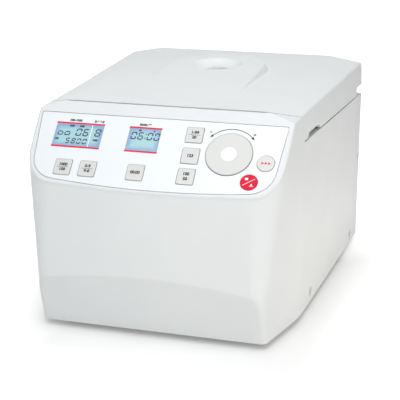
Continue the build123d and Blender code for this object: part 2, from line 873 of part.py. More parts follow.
with BuildPart() as floor_plate:
    add(closed_form(floor_inset))
    with BuildSketch(Plane.XY.offset(floor_z + floor_sheet)):
        Rectangle(4 * rear_half_width, 4 * rear_half_width)
    extrude(amount=form_top_z, mode=Mode.SUBTRACT)
    with BuildSketch(Plane.XY.offset(floor_z)):
        Rectangle(4 * rear_half_width, 4 * rear_half_width)
    extrude(amount=-foot_height, mode=Mode.SUBTRACT)
    with BuildSketch(Plane.XY.offset(floor_z)):
        for x, _ in both_sides(floor_slot_x):
            with Locations((x, rotor_y)):
                with GridLocations(0, floor_slot_pitch, 1, floor_slot_count):
                    SlotOverall(floor_slot_length, floor_slot_pitch / 2)
    extrude(amount=floor_sheet, mode=Mode.SUBTRACT)
floor_plate.part.label = "floor_plate"
export_step(floor_plate.part, "parts/floor_plate.step")

with BuildPart() as feet:
    with Locations(foot_locations(0)):
        Cylinder(foot_radius, floor_z, align=(Align.CENTER, Align.CENTER, Align.MIN))
    chamfer(feet.faces().sort_by(Axis.Z)[:4].edges(), foot_chamfer)
    with Locations(foot_locations(0)):
        Cylinder(
            foot_recess_radius,
            foot_recess,
            align=(Align.CENTER, Align.CENTER, Align.MIN),
            mode=Mode.SUBTRACT,
        )
feet.part.label = "feet"
export_step(feet.part, "parts/feet.step")

with BuildPart() as foot_screws:
    with Locations(foot_locations(foot_recess)):
        Cylinder(foot_screw_radius, foot_screw_head, align=(Align.CENTER, Align.CENTER, Align.MAX))
foot_screws.part.label = "foot_screws"
export_step(foot_screws.part, "parts/foot_screws.step")

# ---- Control panel ----------------------------------------------------------------------------
with BuildPart() as panel_foil:
    with BuildSketch(panel):
        with BuildLine():
            foil_outline(0)
        make_face()
    extrude(amount=-foil_thickness)
    with BuildSketch(panel):
        panel_openings(key_clearance)
        with Locations(panel_point(dial_place)):
            Circle(dial_radius + dial_clearance)
    extrude(amount=-foil_thickness, mode=Mode.SUBTRACT)
panel_foil.part.label = "panel_foil"
export_step(panel_foil.part, "parts/panel_foil.step")

key_bottom = -(key_depth - key_proud)
for name, place in {**key_places, **round_key_places}.items():
    is_round = name in round_key_places
    with BuildPart() as key:
        with BuildSketch(panel.offset(key_bottom)):
            key_hole(place, round_key_radius if is_round else key_size, is_round, 0)
        extrude(amount=key_depth)
        fillet(key.faces().sort_by(panel_axis)[-1].edges(), key_edge_radius)
    key.part.label = name
    export_step(key.part, f"parts/{name}.step")

mat_w = key_bottom - key_travel - mat_gap
with BuildPart() as keypad_mat:
    with BuildSketch(panel.offset(mat_w)):
        for place in [*key_places.values(), *round_key_places.values()]:
            with Locations(panel_point(place)):
                Rectangle(key_size + 2 * mat_margin, key_size + 2 * mat_margin)
        low_u = min(u for u, v in key_places.values())
        high_u = max(u for u, v in round_key_places.values())
        with Locations(((low_u + high_u) / 2, -key_row_v)):
            Rectangle(high_u - low_u, mat_strip)
        with Locations((key_column_u, -key_row_v)):
            Rectangle(mat_strip, key_row_v - key_places["key_program"][1], align=(Align.CENTER, Align.MIN))
        with Locations(panel_point(round_key_places["key_start"])):
            Rectangle(key_size, key_size, align=(Align.CENTER, Align.MAX))
    extrude(amount=-mat_thickness)
keypad_mat.part.label = "keypad_mat"
export_step(keypad_mat.part, "parts/keypad_mat.step")

board_w = mat_w - mat_thickness
with BuildPart() as control_board:
    (u_low, u_high), (v_low, v_high) = board_spans
    with BuildSketch(panel.offset(board_w)):
        with Locations(((u_low + u_high) / 2, -(v_low + v_high) / 2)):
            Rectangle(u_high - u_low, v_high - v_low)
    extrude(amount=-board_thickness)
control_board.part.label = "control_board"
export_step(control_board.part, "parts/control_board.step")

for name, (u_low, u_high) in display_spans.items():
    middle = ((u_low + u_high) / 2, -sum(display_v) / 2)
    size = (u_high - u_low, display_v[1] - display_v[0])
    with BuildPart() as display:
        with BuildSketch(panel.offset(-foil_thickness - wall)):
            with Locations(middle):
                Rectangle(size[0] + 2 * display_rim, size[1] + 2 * display_rim)
        extrude(amount=foil_thickness + wall + board_w)
        with BuildSketch(panel.offset(-display_sunk)):
            with Locations(middle):
                Rectangle(*size)
        extrude(amount=display_sunk - foil_thickness - wall)
    display.part.label = name
    export_step(display.part, f"parts/{name}.step")

with BuildPart() as dial:
    with BuildSketch(panel.offset(dial_proud)):
        with Locations(panel_point(dial_place)):
            Circle(dial_radius)
    extrude(amount=-dial_proud - dial_sunk)
    fillet(dial.faces().sort_by(panel_axis)[-1].edges(), dial_edge_radius)
    with BuildSketch(panel.offset(dial_proud)):
        with Locations(panel_point(dial_place)):
            Circle(dial_dimple)
    extrude(amount=-dial_dimple_depth, mode=Mode.SUBTRACT)
    with BuildSketch(panel.offset(-dial_sunk)):
        with Locations(panel_point(dial_place)):
            Circle(dial_shaft_radius)
    extrude(amount=dial_sunk + board_w + encoder_floor)
dial.part.label = "dial"
export_step(dial.part, "parts/dial.step")

with BuildPart() as encoder:
    with BuildSketch(panel.offset(board_w)):
        with Locations(panel_point(dial_place)):
            Rectangle(encoder_size, encoder_size)
    extrude(amount=-foil_thickness - wall - board_w)
    with BuildSketch(panel.offset(-foil_thickness - wall)):
        with Locations(panel_point(dial_place)):
            Circle(encoder_bush_radius)
    extrude(amount=wall - dial_clearance)
    with BuildSketch(panel.offset(board_w + encoder_floor / 2)):
        with Locations(panel_point(dial_place)):
            Circle(dial_shaft_radius + running_fit)
    extrude(amount=-board_w, mode=Mode.SUBTRACT)
encoder.part.label = "encoder"
export_step(encoder.part, "parts/encoder.step")

# ---- Lock -------------------------------------------------------------------------------------
bolt_plane = Plane(origin=(bolt_rest_x, striker_y, bolt_z), x_dir=(0, 1, 0), z_dir=(1, 0, 0))
with BuildPart() as lock_bolt:
    with BuildSketch(bolt_plane):
        Circle(bolt_radius)
    extrude(amount=-bolt_length)
    chamfer(lock_bolt.faces().sort_by(Axis.X)[-1].edges(), bolt_chamfer)
lock_bolt.part.label = "lock_bolt"
export_step(lock_bolt.part, "parts/lock_bolt.step")

solenoid_x = -lock_block[0] / 2
with BuildPart() as lock_housing:
    with Locations((0, striker_y - striker_swing / 2, deck_z - wall)):
        Box(*lock_block, align=(Align.CENTER, Align.CENTER, Align.MAX))
        Box(
            *striker_room,
            deck_z - wall - bolt_z + striker_width / 2 + striker_clearance,
            align=(Align.CENTER, Align.CENTER, Align.MAX),
            mode=Mode.SUBTRACT,
        )
    with BuildSketch(bolt_plane.offset(solenoid_x - bolt_rest_x)):
        Circle(bolt_radius + running_fit)
    extrude(amount=lock_block[0] / 2 + bolt_travel, mode=Mode.SUBTRACT)
lock_housing.part.label = "lock_housing"
export_step(lock_housing.part, "parts/lock_housing.step")

with BuildPart() as lock_solenoid:
    with BuildSketch(bolt_plane.offset(solenoid_x - bolt_rest_x)):
        Circle(solenoid_radius)
        Circle(bolt_radius + running_fit, mode=Mode.SUBTRACT)
    extrude(amount=-solenoid_length)
lock_solenoid.part.label = "lock_solenoid"
export_step(lock_solenoid.part, "parts/lock_solenoid.step")

# ---- Chamber ----------------------------------------------------------------------------------
with BuildPart() as chamber_bowl:
    with BuildSketch(rotor_section):
        with BuildLine():
            FilletPolyline(
                (bowl_radius + bowl_flange, deck_z + bowl_sheet / 2),
                (bowl_radius + bowl_sheet / 2, deck_z + bowl_sheet / 2),
                (bowl_radius + bowl_sheet / 2, bowl_floor_z - bowl_sheet / 2),
                (dome_radius, bowl_floor_z - bowl_sheet / 2),
                (dome_radius - dome_draft, dome_top_z - bowl_sheet / 2),
                (seal_radius, dome_top_z - bowl_sheet / 2),
                radius=[bowl_lip_radius, bowl_corner, dome_corner, dome_corner],
            )
        trace(line_width=bowl_sheet)
    revolve(axis=rotor_axis)
chamber_bowl.part.label = "chamber_bowl"
export_step(chamber_bowl.part, "parts/chamber_bowl.step")

with BuildPart() as chamber_gasket:
    with BuildSketch(rotor_section):
        with Locations((bowl_radius + gasket_inset, flange_top)):
            RectangleRounded(gasket_width, gasket_height, gasket_round, align=(Align.MIN, Align.MIN))
    revolve(axis=rotor_axis)
chamber_gasket.part.label = "chamber_gasket"
export_step(chamber_gasket.part, "parts/chamber_gasket.step")

with BuildPart() as shaft_seal:
    with BuildSketch(rotor_section):
        with Locations((spindle_radius + seal_gap, dome_top_z - seal_lip - bowl_sheet)):
            Rectangle(
                seal_radius - spindle_radius - seal_gap,
                2 * seal_lip + bowl_sheet,
                align=(Align.MIN, Align.MIN),
            )
        with Locations((seal_radius, dome_top_z)):
            Rectangle(seal_lip, seal_lip, align=(Align.MIN, Align.MIN))
    revolve(axis=rotor_axis)
shaft_seal.part.label = "shaft_seal"
export_step(shaft_seal.part, "parts/shaft_seal.step")

# ---- Rotor ------------------------------------------------------------------------------------
lean = radians(tube_angle)
sleeve_length = sleeve_radius + (bowl_radius - mouth_radius - sleeve_radius - sleeve_room) / sin(lean)
sleeve_bore_depth = sleeve_length - sleeve_floor


def beside_tube(offset, along):
    """Point in the rotor's section at offset outside a tube's axis and along below its mouth."""
    return (
        mouth_radius + along * sin(lean) + offset * cos(lean),
        mouth_z - along * cos(lean) + offset * sin(lean),
    )


tube_places = [
    Location((0, rotor_y, 0), (0, 0, 360 / tube_count * turn))
    * Location((mouth_radius, 0, mouth_z), (0, -tube_angle, 0))
    for turn in range(tube_count)
]
shell_inside = sleeve_radius + rotor_shell_gap
shell_outside = shell_inside + rotor_shell
plate_inner = -(mouth_radius - hub_radius) / cos(lean)

with BuildPart() as rotor:
    with BuildSketch(rotor_section):
        with BuildLine():
            Polyline(
                (spindle_radius, hub_bottom_z),
                (hub_radius, hub_bottom_z),
                (hub_radius, beside_tube(plate_inner, rotor_plate)[1]),
                beside_tube(shell_inside, rotor_plate),
                beside_tube(shell_inside, rotor_shell_length),
                beside_tube(shell_outside, rotor_shell_length),
                beside_tube(shell_outside, 0),
                beside_tube(plate_inner, 0),
                (hub_radius, hub_top_z),
                (spindle_radius, hub_top_z),
                close=True,
            )
        make_face()
    revolve(axis=rotor_axis)
    with Locations(tube_places):
        Cylinder(sleeve_radius + rotor_hole_gap, 4 * rotor_plate, mode=Mode.SUBTRACT)
        Cylinder(
            collar_radius + collar_gap,
            rotor_plate,
            align=(Align.CENTER, Align.CENTER, Align.MIN),
            mode=Mode.SUBTRACT,
        )
rotor.part.label = "rotor"
export_step(rotor.part, "parts/rotor.step")

with BuildPart() as one_sleeve:
    with BuildSketch(Plane.XZ):
        with BuildLine():
            Polyline(
                (sleeve_bore_radius, collar_height),
                (collar_radius, collar_height),
                (collar_radius, 0),
                (sleeve_radius, 0),
                (sleeve_radius, sleeve_radius - sleeve_length),
            )
            RadiusArc((sleeve_radius, sleeve_radius - sleeve_length), (0, -sleeve_length), sleeve_radius)
            Polyline(
                (0, -sleeve_length),
                (0, -sleeve_bore_depth),
                (sleeve_bore_radius, -sleeve_bore_depth),
                (sleeve_bore_radius, collar_height),
            )
        make_face()
    revolve(axis=Axis.Z)

with BuildPart() as tube_sleeves:
    with Locations(tube_places):
        add(one_sleeve.part)
tube_sleeves.part.label = "tube_sleeves"
export_step(tube_sleeves.part, "parts/tube_sleeves.step")

with BuildPart() as rotor_nut:
    with Locations((0, rotor_y, hub_top_z)):
        Cylinder(nut_radius, nut_height, align=(Align.CENTER, Align.CENTER, Align.MIN))
    chamfer(rotor_nut.faces().sort_by(Axis.Z)[-1].edges(), nut_chamfer)
    with Locations((0, rotor_y, hub_top_z)):
        with PolarLocations(nut_radius + nut_flute_radius - nut_flute_depth, nut_flutes):
            Cylinder(nut_flute_radius, 4 * nut_height, mode=Mode.SUBTRACT)
        Cylinder(
            thread_radius, thread_length, align=(Align.CENTER, Align.CENTER, Align.MIN), mode=Mode.SUBTRACT
        )
rotor_nut.part.label = "rotor_nut"
export_step(rotor_nut.part, "parts/rotor_nut.step")

# ---- Drive ------------------------------------------------------------------------------------
plate_bottom = floor_z + floor_sheet + mount_height
motor_z = plate_bottom + motor_plate_thickness

with BuildPart() as motor_shaft:
    with BuildSketch(rotor_section):
        with BuildLine():
            Polyline(
                (0, motor_z + shaft_lift),
                (shaft_radius, motor_z + shaft_lift),
                (shaft_radius, motor_top_z + shoulder_rise[0]),
                (spindle_radius, motor_top_z + shoulder_rise[1]),
                (spindle_radius, hub_top_z),
                (thread_radius, hub_top_z),
                (thread_radius, hub_top_z + thread_length),
                (0, hub_top_z + thread_length),
                close=True,
            )
        make_face()
    revolve(axis=rotor_axis)
motor_shaft.part.label = "motor_shaft"
export_step(motor_shaft.part, "parts/motor_shaft.step")

with BuildPart() as motor_bearings:
    with BuildSketch(rotor_section):
        for z in (motor_z, motor_top_z - bearing_height):
            with Locations((shaft_radius + running_fit, z)):
                Rectangle(
                    bearing_radius - shaft_radius - running_fit,
                    bearing_height,
                    align=(Align.MIN, Align.MIN),
                )
    revolve(axis=rotor_axis)
motor_bearings.part.label = "motor_bearings"
export_step(motor_bearings.part, "parts/motor_bearings.step")

with BuildPart() as motor_housing:
    with Locations((0, rotor_y, motor_z)):
        Cylinder(motor_radius, motor_top_z - motor_z, align=(Align.CENTER, Align.CENTER, Align.MIN))
    chamfer(motor_housing.faces().sort_by(Axis.Z)[-1].edges(), motor_chamfer)
    with BuildSketch(rotor_section):
        with Locations((motor_radius, (motor_z + motor_top_z) / 2)):
            with GridLocations(0, motor_rib_pitch, 1, motor_ribs):
                Rectangle(motor_rib_depth, motor_rib_pitch / 2, align=(Align.MAX, Align.CENTER))
    revolve(axis=rotor_axis, mode=Mode.SUBTRACT)
    with BuildSketch(rotor_section):
        Rectangle(shaft_radius + motor_bore_gap, form_top_z, align=(Align.MIN, Align.MIN))
        for z in (motor_z, motor_top_z - bearing_height):
            with Locations((0, z)):
                Rectangle(bearing_radius, bearing_height, align=(Align.MIN, Align.MIN))
    revolve(axis=rotor_axis, mode=Mode.SUBTRACT)
motor_housing.part.label = "motor_housing"
export_step(motor_housing.part, "parts/motor_housing.step")

with BuildPart() as motor_plate:
    with BuildSketch(Plane.XY.offset(plate_bottom)):
        with Locations((0, rotor_y)):
            RectangleRounded(motor_plate_size, motor_plate_size, mount_radius)
    extrude(amount=motor_plate_thickness)
motor_plate.part.label = "motor_plate"
export_step(motor_plate.part, "parts/motor_plate.step")

with BuildPart() as motor_mounts:
    with BuildSketch(Plane(origin=(0, rotor_y, plate_bottom))):
        with GridLocations(2 * mount_spread, 2 * mount_spread, 2, 2):
            Circle(mount_radius)
    extrude(amount=-mount_height)
    fillet(motor_mounts.edges().filter_by(GeomType.CIRCLE), mount_round)
motor_mounts.part.label = "motor_mounts"
export_step(motor_mounts.part, "parts/motor_mounts.step")

with BuildPart() as power_board:
    with Locations((board_x, rotor_y, power_board_z)):
        Box(*power_board_size, align=(Align.CENTER, Align.CENTER, Align.MIN))
power_board.part.label = "power_board"
export_step(power_board.part, "parts/power_board.step")

with BuildPart() as heat_sink:
    with BuildSketch(Plane.XZ.offset(-rotor_y + heat_sink_length / 2)):
        with Locations((board_x, power_board_z + power_board_size[2])):
            Rectangle(heat_sink_width, heat_sink_base, align=(Align.CENTER, Align.MIN))
            with GridLocations(heat_sink_pitch, 0, heat_sink_fins, 1):
                Rectangle(heat_sink_base / 2, heat_sink_height, align=(Align.CENTER, Align.MIN))
    extrude(amount=-heat_sink_length)
heat_sink.part.label = "heat_sink"
export_step(heat_sink.part, "parts/heat_sink.step")

# ---- Rear panel -------------------------------------------------------------------------------
panel_back_y = rear_y - wall
panel_inner_y = panel_back_y - rear_panel_sheet
back = Plane(origin=(0, panel_back_y, 0), x_dir=(-1, 0, 0), z_dir=(0, 1, 0))

with BuildPart() as rear_panel:
    with BuildSketch(back):
        with Locations((0, sum(window_z) / 2)):
            Rectangle(
                2 * (window_half_width + rear_panel_ledge), window_z[1] - window_z[0] + 2 * rear_panel_rim
            )
        with Locations((-inlet_x, inlet_z)):
            Rectangle(*inlet_size, mode=Mode.SUBTRACT)
        with Locations((-inlet_x, fuse_z)):
            Rectangle(*fuse_size, mode=Mode.SUBTRACT)
        with Locations((-switch_x, switch_z)):
            Rectangle(*switch_body, mode=Mode.SUBTRACT)
    extrude(amount=-rear_panel_sheet)
    with BuildSketch(back):
        with Locations((-fan_x, fan_z)):
            for row in range(-grille_rows, grille_rows + 1):
                height = row * grille_pitch
                half = (fan_bore_radius**2 - height**2) ** 0.5 - grille_web
                for side in (-1, 1):
                    with Locations((side * (half + grille_web) / 2, height)):
                        SlotOverall(half, grille_pitch / 2)
    extrude(amount=-rear_panel_sheet, mode=Mode.SUBTRACT)
rear_panel.part.label = "rear_panel"
export_step(rear_panel.part, "parts/rear_panel.step")

with BuildPart() as power_inlet:
    with BuildSketch(back):
        with Locations((-inlet_x, inlet_z)):
            RectangleRounded(*inlet_flange, inlet_flange_corner)
    extrude(amount=flange_thickness)
    with BuildSketch(back):
        with Locations((-inlet_x, inlet_z)):
            Rectangle(*inlet_size)
    extrude(amount=-inlet_depth)
    with BuildSketch(back.offset(flange_thickness)):
        with Locations((-inlet_x, inlet_z)):
            inlet_mouth()
    extrude(amount=-inlet_cavity_depth, mode=Mode.SUBTRACT)
power_inlet.part.label = "power_inlet"
export_step(power_inlet.part, "parts/power_inlet.step")

with BuildPart() as inlet_pins:
    with BuildSketch(back.offset(flange_thickness - inlet_cavity_depth)):
        with Locations((-inlet_x, inlet_z)):
            with Locations((-inlet_pin_pitch, -inlet_pin_offset), (inlet_pin_pitch, -inlet_pin_offset)):
                Rectangle(*inlet_pin)
            with Locations((0, inlet_pin_offset)):
                Rectangle(*inlet_pin)
    extrude(amount=inlet_pin_length)
inlet_pins.part.label = "inlet_pins"
export_step(inlet_pins.part, "parts/inlet_pins.step")

with BuildPart() as fuse_drawer:
    with BuildSketch(back):
        with Locations((-inlet_x, fuse_z)):
            RectangleRounded(*fuse_front, trim_corner)
    extrude(amount=flange_thickness)
    with BuildSketch(back):
        with Locations((-inlet_x, fuse_z)):
            Rectangle(*fuse_size)
    extrude(amount=-inlet_depth)
    with BuildSketch(back.offset(flange_thickness)):
        with Locations((-inlet_x, fuse_z)):
            SlotOverall(*fuse_slot)
    extrude(amount=-fuse_slot_depth, mode=Mode.SUBTRACT)
fuse_drawer.part.label = "fuse_drawer"
export_step(fuse_drawer.part, "parts/fuse_drawer.step")

with BuildPart() as switch_frame:
    with BuildSketch(back):
        with Locations((-switch_x, switch_z)):
            RectangleRounded(*switch_front, trim_corner)
    extrude(amount=flange_thickness)
    with BuildSketch(back):
        with Locations((-switch_x, switch_z)):
            Rectangle(*switch_body)
    extrude(amount=-switch_depth)
    with BuildSketch(back.offset(flange_thickness)):
        with Locations((-switch_x, switch_z)):
            Rectangle(rocker_size[0] + 2 * rocker_gap, rocker_size[1] + 2 * rocker_gap)
    extrude(amount=-flange_thickness - rocker_well, mode=Mode.SUBTRACT)
switch_frame.part.label = "switch_frame"
export_step(switch_frame.part, "parts/switch_frame.step")

rocker_side = (switch_x - rocker_size[0] / 2, rocker_y, switch_z)
rocker_plane = Plane(
    origin=rocker_side,
    x_dir=(0, cos(radians(rocker_angle)), sin(radians(rocker_angle))),
    z_dir=(1, 0, 0),
)
with BuildPart() as rocker:
    with BuildSketch(rocker_plane):
        with BuildLine():
            Polyline(
                (rocker_valley, 0),
                (rocker_crest, rocker_size[1] / 2),
                (0, rocker_size[1] / 2),
                (-rocker_tail, rocker_tail),
                (-rocker_tail, -rocker_tail),
                (0, -rocker_size[1] / 2),
                (rocker_crest, -rocker_size[1] / 2),
                close=True,
            )
        make_face()
    extrude(amount=rocker_size[0])
rocker.part.label = "rocker"
export_step(rocker.part, "parts/rocker.step")

fan_back = Plane(origin=(0, panel_inner_y, 0), x_dir=(-1, 0, 0), z_dir=(0, 1, 0))
with BuildPart() as fan_frame:
    with BuildSketch(fan_back):
        with Locations((-fan_x, fan_z)):
            RectangleRounded(fan_size, fan_size, fan_corner)
            Circle(fan_bore_radius, mode=Mode.SUBTRACT)
    extrude(amount=-fan_depth)
    with BuildSketch(fan_back):
        with Locations((-fan_x, fan_z)):
            Circle(fan_hub_radius)
            with PolarLocations(0, fan_struts):
                Rectangle(
                    fan_bore_radius + fan_strut_reach, fan_strut_width, align=(Align.MIN, Align.CENTER)
                )
    extrude(amount=-fan_strut_depth)
fan_frame.part.label = "fan_frame"
export_step(fan_frame.part, "parts/fan_frame.step")

blade_depth = fan_depth - fan_strut_depth - 2 * fan_tip_gap
with BuildPart() as fan_impeller:
    with BuildSketch(fan_back.offset(-fan_strut_depth - fan_tip_gap)):
        with Locations((-fan_x, fan_z)):
            Circle(fan_hub_radius)
    extrude(amount=-blade_depth)
    for turn in range(fan_blades):
        blade = Plane(
            origin=(fan_x, fan_back.origin.Y - fan_strut_depth - fan_tip_gap - blade_depth / 2, fan_z),
            x_dir=(0, 1, 0),
            z_dir=(cos(radians(360 / fan_blades * turn)), 0, sin(radians(360 / fan_blades * turn))),
        )
        with BuildSketch(blade.offset(fan_hub_radius - fan_strut_reach)):
            Rectangle(blade_depth * fan_blade_share, fan_blade_thickness, rotation=fan_blade_pitch)
        extrude(amount=fan_bore_radius - fan_tip_gap - fan_hub_radius + fan_strut_reach)
fan_impeller.part.label = "fan_impeller"
export_step(fan_impeller.part, "parts/fan_impeller.step")
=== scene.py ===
"""Bench centrifuge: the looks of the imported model, laid out as a Blender add-on.

Run as a script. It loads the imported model, gives every part its finish, models the printing, the small
screws and the signs, and sets the stage. Sizes are in metres where a comment doesn't say otherwise.
"""

import json
from math import cos, pi, radians, sin

import bmesh
import bpy
from mathutils import Matrix, Vector


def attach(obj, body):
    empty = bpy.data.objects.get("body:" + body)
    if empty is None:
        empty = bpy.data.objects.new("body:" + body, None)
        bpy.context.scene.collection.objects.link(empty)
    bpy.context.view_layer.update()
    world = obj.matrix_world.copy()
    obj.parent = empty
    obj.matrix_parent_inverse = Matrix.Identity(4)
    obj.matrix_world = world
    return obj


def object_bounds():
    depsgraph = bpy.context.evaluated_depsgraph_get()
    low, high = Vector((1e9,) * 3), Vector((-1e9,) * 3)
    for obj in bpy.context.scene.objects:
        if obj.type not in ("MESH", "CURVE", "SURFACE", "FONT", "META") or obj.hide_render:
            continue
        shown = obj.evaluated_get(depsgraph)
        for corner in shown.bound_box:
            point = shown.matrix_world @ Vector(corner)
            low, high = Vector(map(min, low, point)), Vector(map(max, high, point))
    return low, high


bl_info = {
    "name": "Bench Centrifuge",
    "version": (1, 0, 0),
    "blender": (4, 5, 0),
    "location": "3D View > Sidebar > Centrifuge",
    "description": "Finishes, printing and fasteners of a bench centrifuge",
    "category": "Object",
}

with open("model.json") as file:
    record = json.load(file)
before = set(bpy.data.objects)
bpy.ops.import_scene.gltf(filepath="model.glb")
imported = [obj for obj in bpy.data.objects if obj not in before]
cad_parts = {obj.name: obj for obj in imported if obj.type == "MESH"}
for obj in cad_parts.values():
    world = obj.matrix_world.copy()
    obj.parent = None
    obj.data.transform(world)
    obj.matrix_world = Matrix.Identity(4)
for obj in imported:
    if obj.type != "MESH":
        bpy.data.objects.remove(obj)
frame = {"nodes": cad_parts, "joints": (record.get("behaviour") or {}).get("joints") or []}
NODES = frame["nodes"]
CAD_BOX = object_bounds()
MM = 0.001
UP = (0, 0, 1)
DOWN = (0, 0, -1)
FORWARD = (0, -1, 0)
BACKWARD = (0, 1, 0)


def joint_named(name):
    """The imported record's joint of that name."""
    return next(joint for joint in frame["joints"] if joint["name"] == name)


DIAL_JOINT = joint_named("dial_turn")
ROTOR_Y = joint_named("rotor_spin")["pos_m"][1]

# Places and lengths on the control panel are in millimetres. A place is so far to the right and so far up
# the slope from the middle of the line where the panel meets the roof.
DIAL_PLACE = (67.8, -45.8)
DIAL_RADIUS = 21.0
KEY_PLACES = {
    "key_program": (33.3, -28.9),
    "key_store": (33.3, -50.3),
    "key_pulse": (33.3, -71.1),
    "key_speed": (-82.1, -71.1),
    "key_ramp": (-58.5, -71.1),
    "key_time": (-13.3, -71.1),
    "key_start": (101.8, -52.3),
    "key_stop": (90.1, -71.7),
}
WINDOW_SIDES = {"speed_display": (-98.9, -53.2), "time_display": (-28.1, 1.6)}
WINDOW_FOOT, WINDOW_HEAD = -48.8, -25.8
BAR_ENDS = ((-99.6, -52.6), (-28.8, 2.3))
BAR_HEIGHTS = (-24.9, -49.7)


def panel_spot(across, up, lift=0.0):
    """A place on the control panel as metres, with a lift that is already in metres."""
    return across * MM, up * MM, lift


def panel_matrix():
    """Place of the control panel: X to the right, Y up the slope, Z out of its face."""
    outward = Vector(DIAL_JOINT["axis"]).normalized()
    across = Vector((1, 0, 0))
    upward = outward.cross(across)
    turn = Matrix((across, upward, outward)).transposed()
    origin = Vector(DIAL_JOINT["pos_m"]) - turn @ Vector(panel_spot(*DIAL_PLACE))
    return Matrix.Translation(origin) @ turn.to_4x4()


PANEL = panel_matrix()


# ---- Modelling helpers -------------------------------------------------------
def clear_selection():
    """Deselect everything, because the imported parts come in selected."""
    if bpy.context.object and bpy.context.object.mode != "OBJECT":
        bpy.ops.object.mode_set(mode="OBJECT")
    bpy.ops.object.select_all(action="DESELECT")


def pick(*objects):
    """Select only these objects and make the first of them active."""
    clear_selection()
    for item in objects:
        item.select_set(True)
    bpy.context.view_layer.objects.active = objects[0]


def choose(kind, test):
    """In edit mode, select the faces or the edges that pass a test, and nothing else."""
    bpy.ops.mesh.select_mode(type=kind)
    bpy.ops.mesh.select_all(action="DESELECT")
    mesh = bmesh.from_edit_mesh(bpy.context.object.data)
    for item in mesh.faces if kind == "FACE" else mesh.edges:
        if test(item):
            item.select_set(True)
    mesh.select_flush_mode()
    bmesh.update_edit_mesh(bpy.context.object.data)


def bevel_uprights(height, width, segments):
    """Bevel the upright edges of the active piece, which has that height."""
    bpy.ops.object.mode_set(mode="EDIT")
    choose("EDGE", lambda edge: abs(edge.verts[0].co.z - edge.verts[1].co.z) > height / 2)
    bpy.ops.mesh.bevel(offset=width, segments=segments, affect="EDGES")
    bpy.ops.object.mode_set(mode="OBJECT")


def bar(size, at=(0, 0, 0), turn=0.0, point=0.0):
    """A flat bar, its upright edges cut by point to give it pointed ends."""
    clear_selection()
    bpy.ops.mesh.primitive_cube_add(size=1, location=(0, 0, 0))
    piece = bpy.context.object
    piece.scale = size
    bpy.ops.object.transform_apply(location=False, rotation=False, scale=True)
    if point:
        bevel_uprights(size[2], point, 1)
    piece.rotation_euler = (0, 0, turn)
    piece.location = at
    return piece


def disc(radius, height, sides, soften=0.0):
    """A round plate standing on the XY plane, its upper rim softened by so much."""
    clear_selection()
    bpy.ops.mesh.primitive_cylinder_add(
        vertices=sides, radius=radius, depth=height, location=(0, 0, height / 2)
    )
    piece = bpy.context.object
    bpy.ops.object.transform_apply(location=True, rotation=False, scale=False)
    if soften:
        bpy.ops.object.mode_set(mode="EDIT")
        choose("EDGE", lambda edge: min(edge.verts[0].co.z, edge.verts[1].co.z) > height * 0.9)
        bpy.ops.mesh.bevel(offset=soften, segments=3, affect="EDGES")
        bpy.ops.object.mode_set(mode="OBJECT")
    return piece


def wedge(radius, height, at, turn=0.0, length=1.0):
    """A flat three-cornered sign, so many times as long as wide, its point along X before it is turned."""
    clear_selection()
    bpy.ops.mesh.primitive_cylinder_add(vertices=3, radius=radius, depth=height, rotation=(0, 0, -pi / 2))
    piece = bpy.context.object
    bpy.ops.object.transform_apply(location=False, rotation=True, scale=False)
    piece.scale = (length, 1, 1)
    bpy.ops.object.transform_apply(location=False, rotation=False, scale=True)
    bevel_uprights(height, radius * 0.08, 2)
    piece.rotation_euler = (0, 0, turn)
    piece.location = at
    return piece


def copy_of(piece, matrix):
    """A copy with its own mesh, placed by a matrix on top of the original's place."""
    twin = piece.copy()
    twin.data = piece.data.copy()
    bpy.context.scene.collection.objects.link(twin)
    twin.matrix_world = matrix @ piece.matrix_world
    return twin


def lettering(text, height, thickness, at=(0, 0, 0), weight=0.0):
    """Plain figures as a mesh, centred on a place, their strokes widened by weight."""
    figure_share = 0.7  # height of a figure in a font of size 1
    clear_selection()
    bpy.ops.object.text_add(location=(0, 0, 0))
    words = bpy.context.object
    words.data.body = text
    words.data.size = height / figure_share
    words.data.offset = weight
    words.data.align_x = "CENTER"
    words.data.align_y = "CENTER"
    words.data.extrude = thickness / 2
    words.data.resolution_u = 4
    bpy.ops.object.convert(target="MESH")
    words = bpy.context.object
    bpy.ops.object.mode_set(mode="EDIT")
    bpy.ops.mesh.select_all(action="SELECT")
    bpy.ops.mesh.remove_doubles(threshold=1e-6)
    bpy.ops.mesh.normals_make_consistent(inside=False)
    bpy.ops.object.mode_set(mode="OBJECT")
    words.location = at
    return words


def finish_piece(parts, name, body, material, matrix=None):
    """Join parts into one piece, put its place into its mesh, and let it ride on a body."""
    bpy.context.view_layer.update()
    if matrix is not None:
        for part in parts:
            part.matrix_world = matrix @ part.matrix_world
    pick(*parts)
    if len(parts) > 1:
        bpy.ops.object.join()
    piece = bpy.context.object
    bpy.ops.object.transform_apply(location=True, rotation=True, scale=True)
    bpy.ops.object.shade_smooth_by_angle(angle=radians(30))
    piece.name = name
    piece.data.name = name
    piece.data.materials.clear()
    piece.data.materials.append(material)
    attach(piece, body)


def coat(names, material):
    """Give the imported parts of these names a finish."""
    for name in names:
        for slot in NODES[name].material_slots:
            slot.material = material


# ---- Shader helpers ----------------------------------------------------------
def feed(tree, socket, value):
    """Give an input either another node's output or a plain value."""
    if isinstance(value, bpy.types.NodeSocket):
        tree.links.new(value, socket)
    else:
        socket.default_value = value


def put(tree, kind, inputs=None, **settings):
    """Add a shader node with its inputs and settings."""
    item = tree.nodes.new(kind)
    for key, value in settings.items():
        setattr(item, key, value)
    for key, value in (inputs or {}).items():
        feed(tree, item.inputs[key], value)
    return item


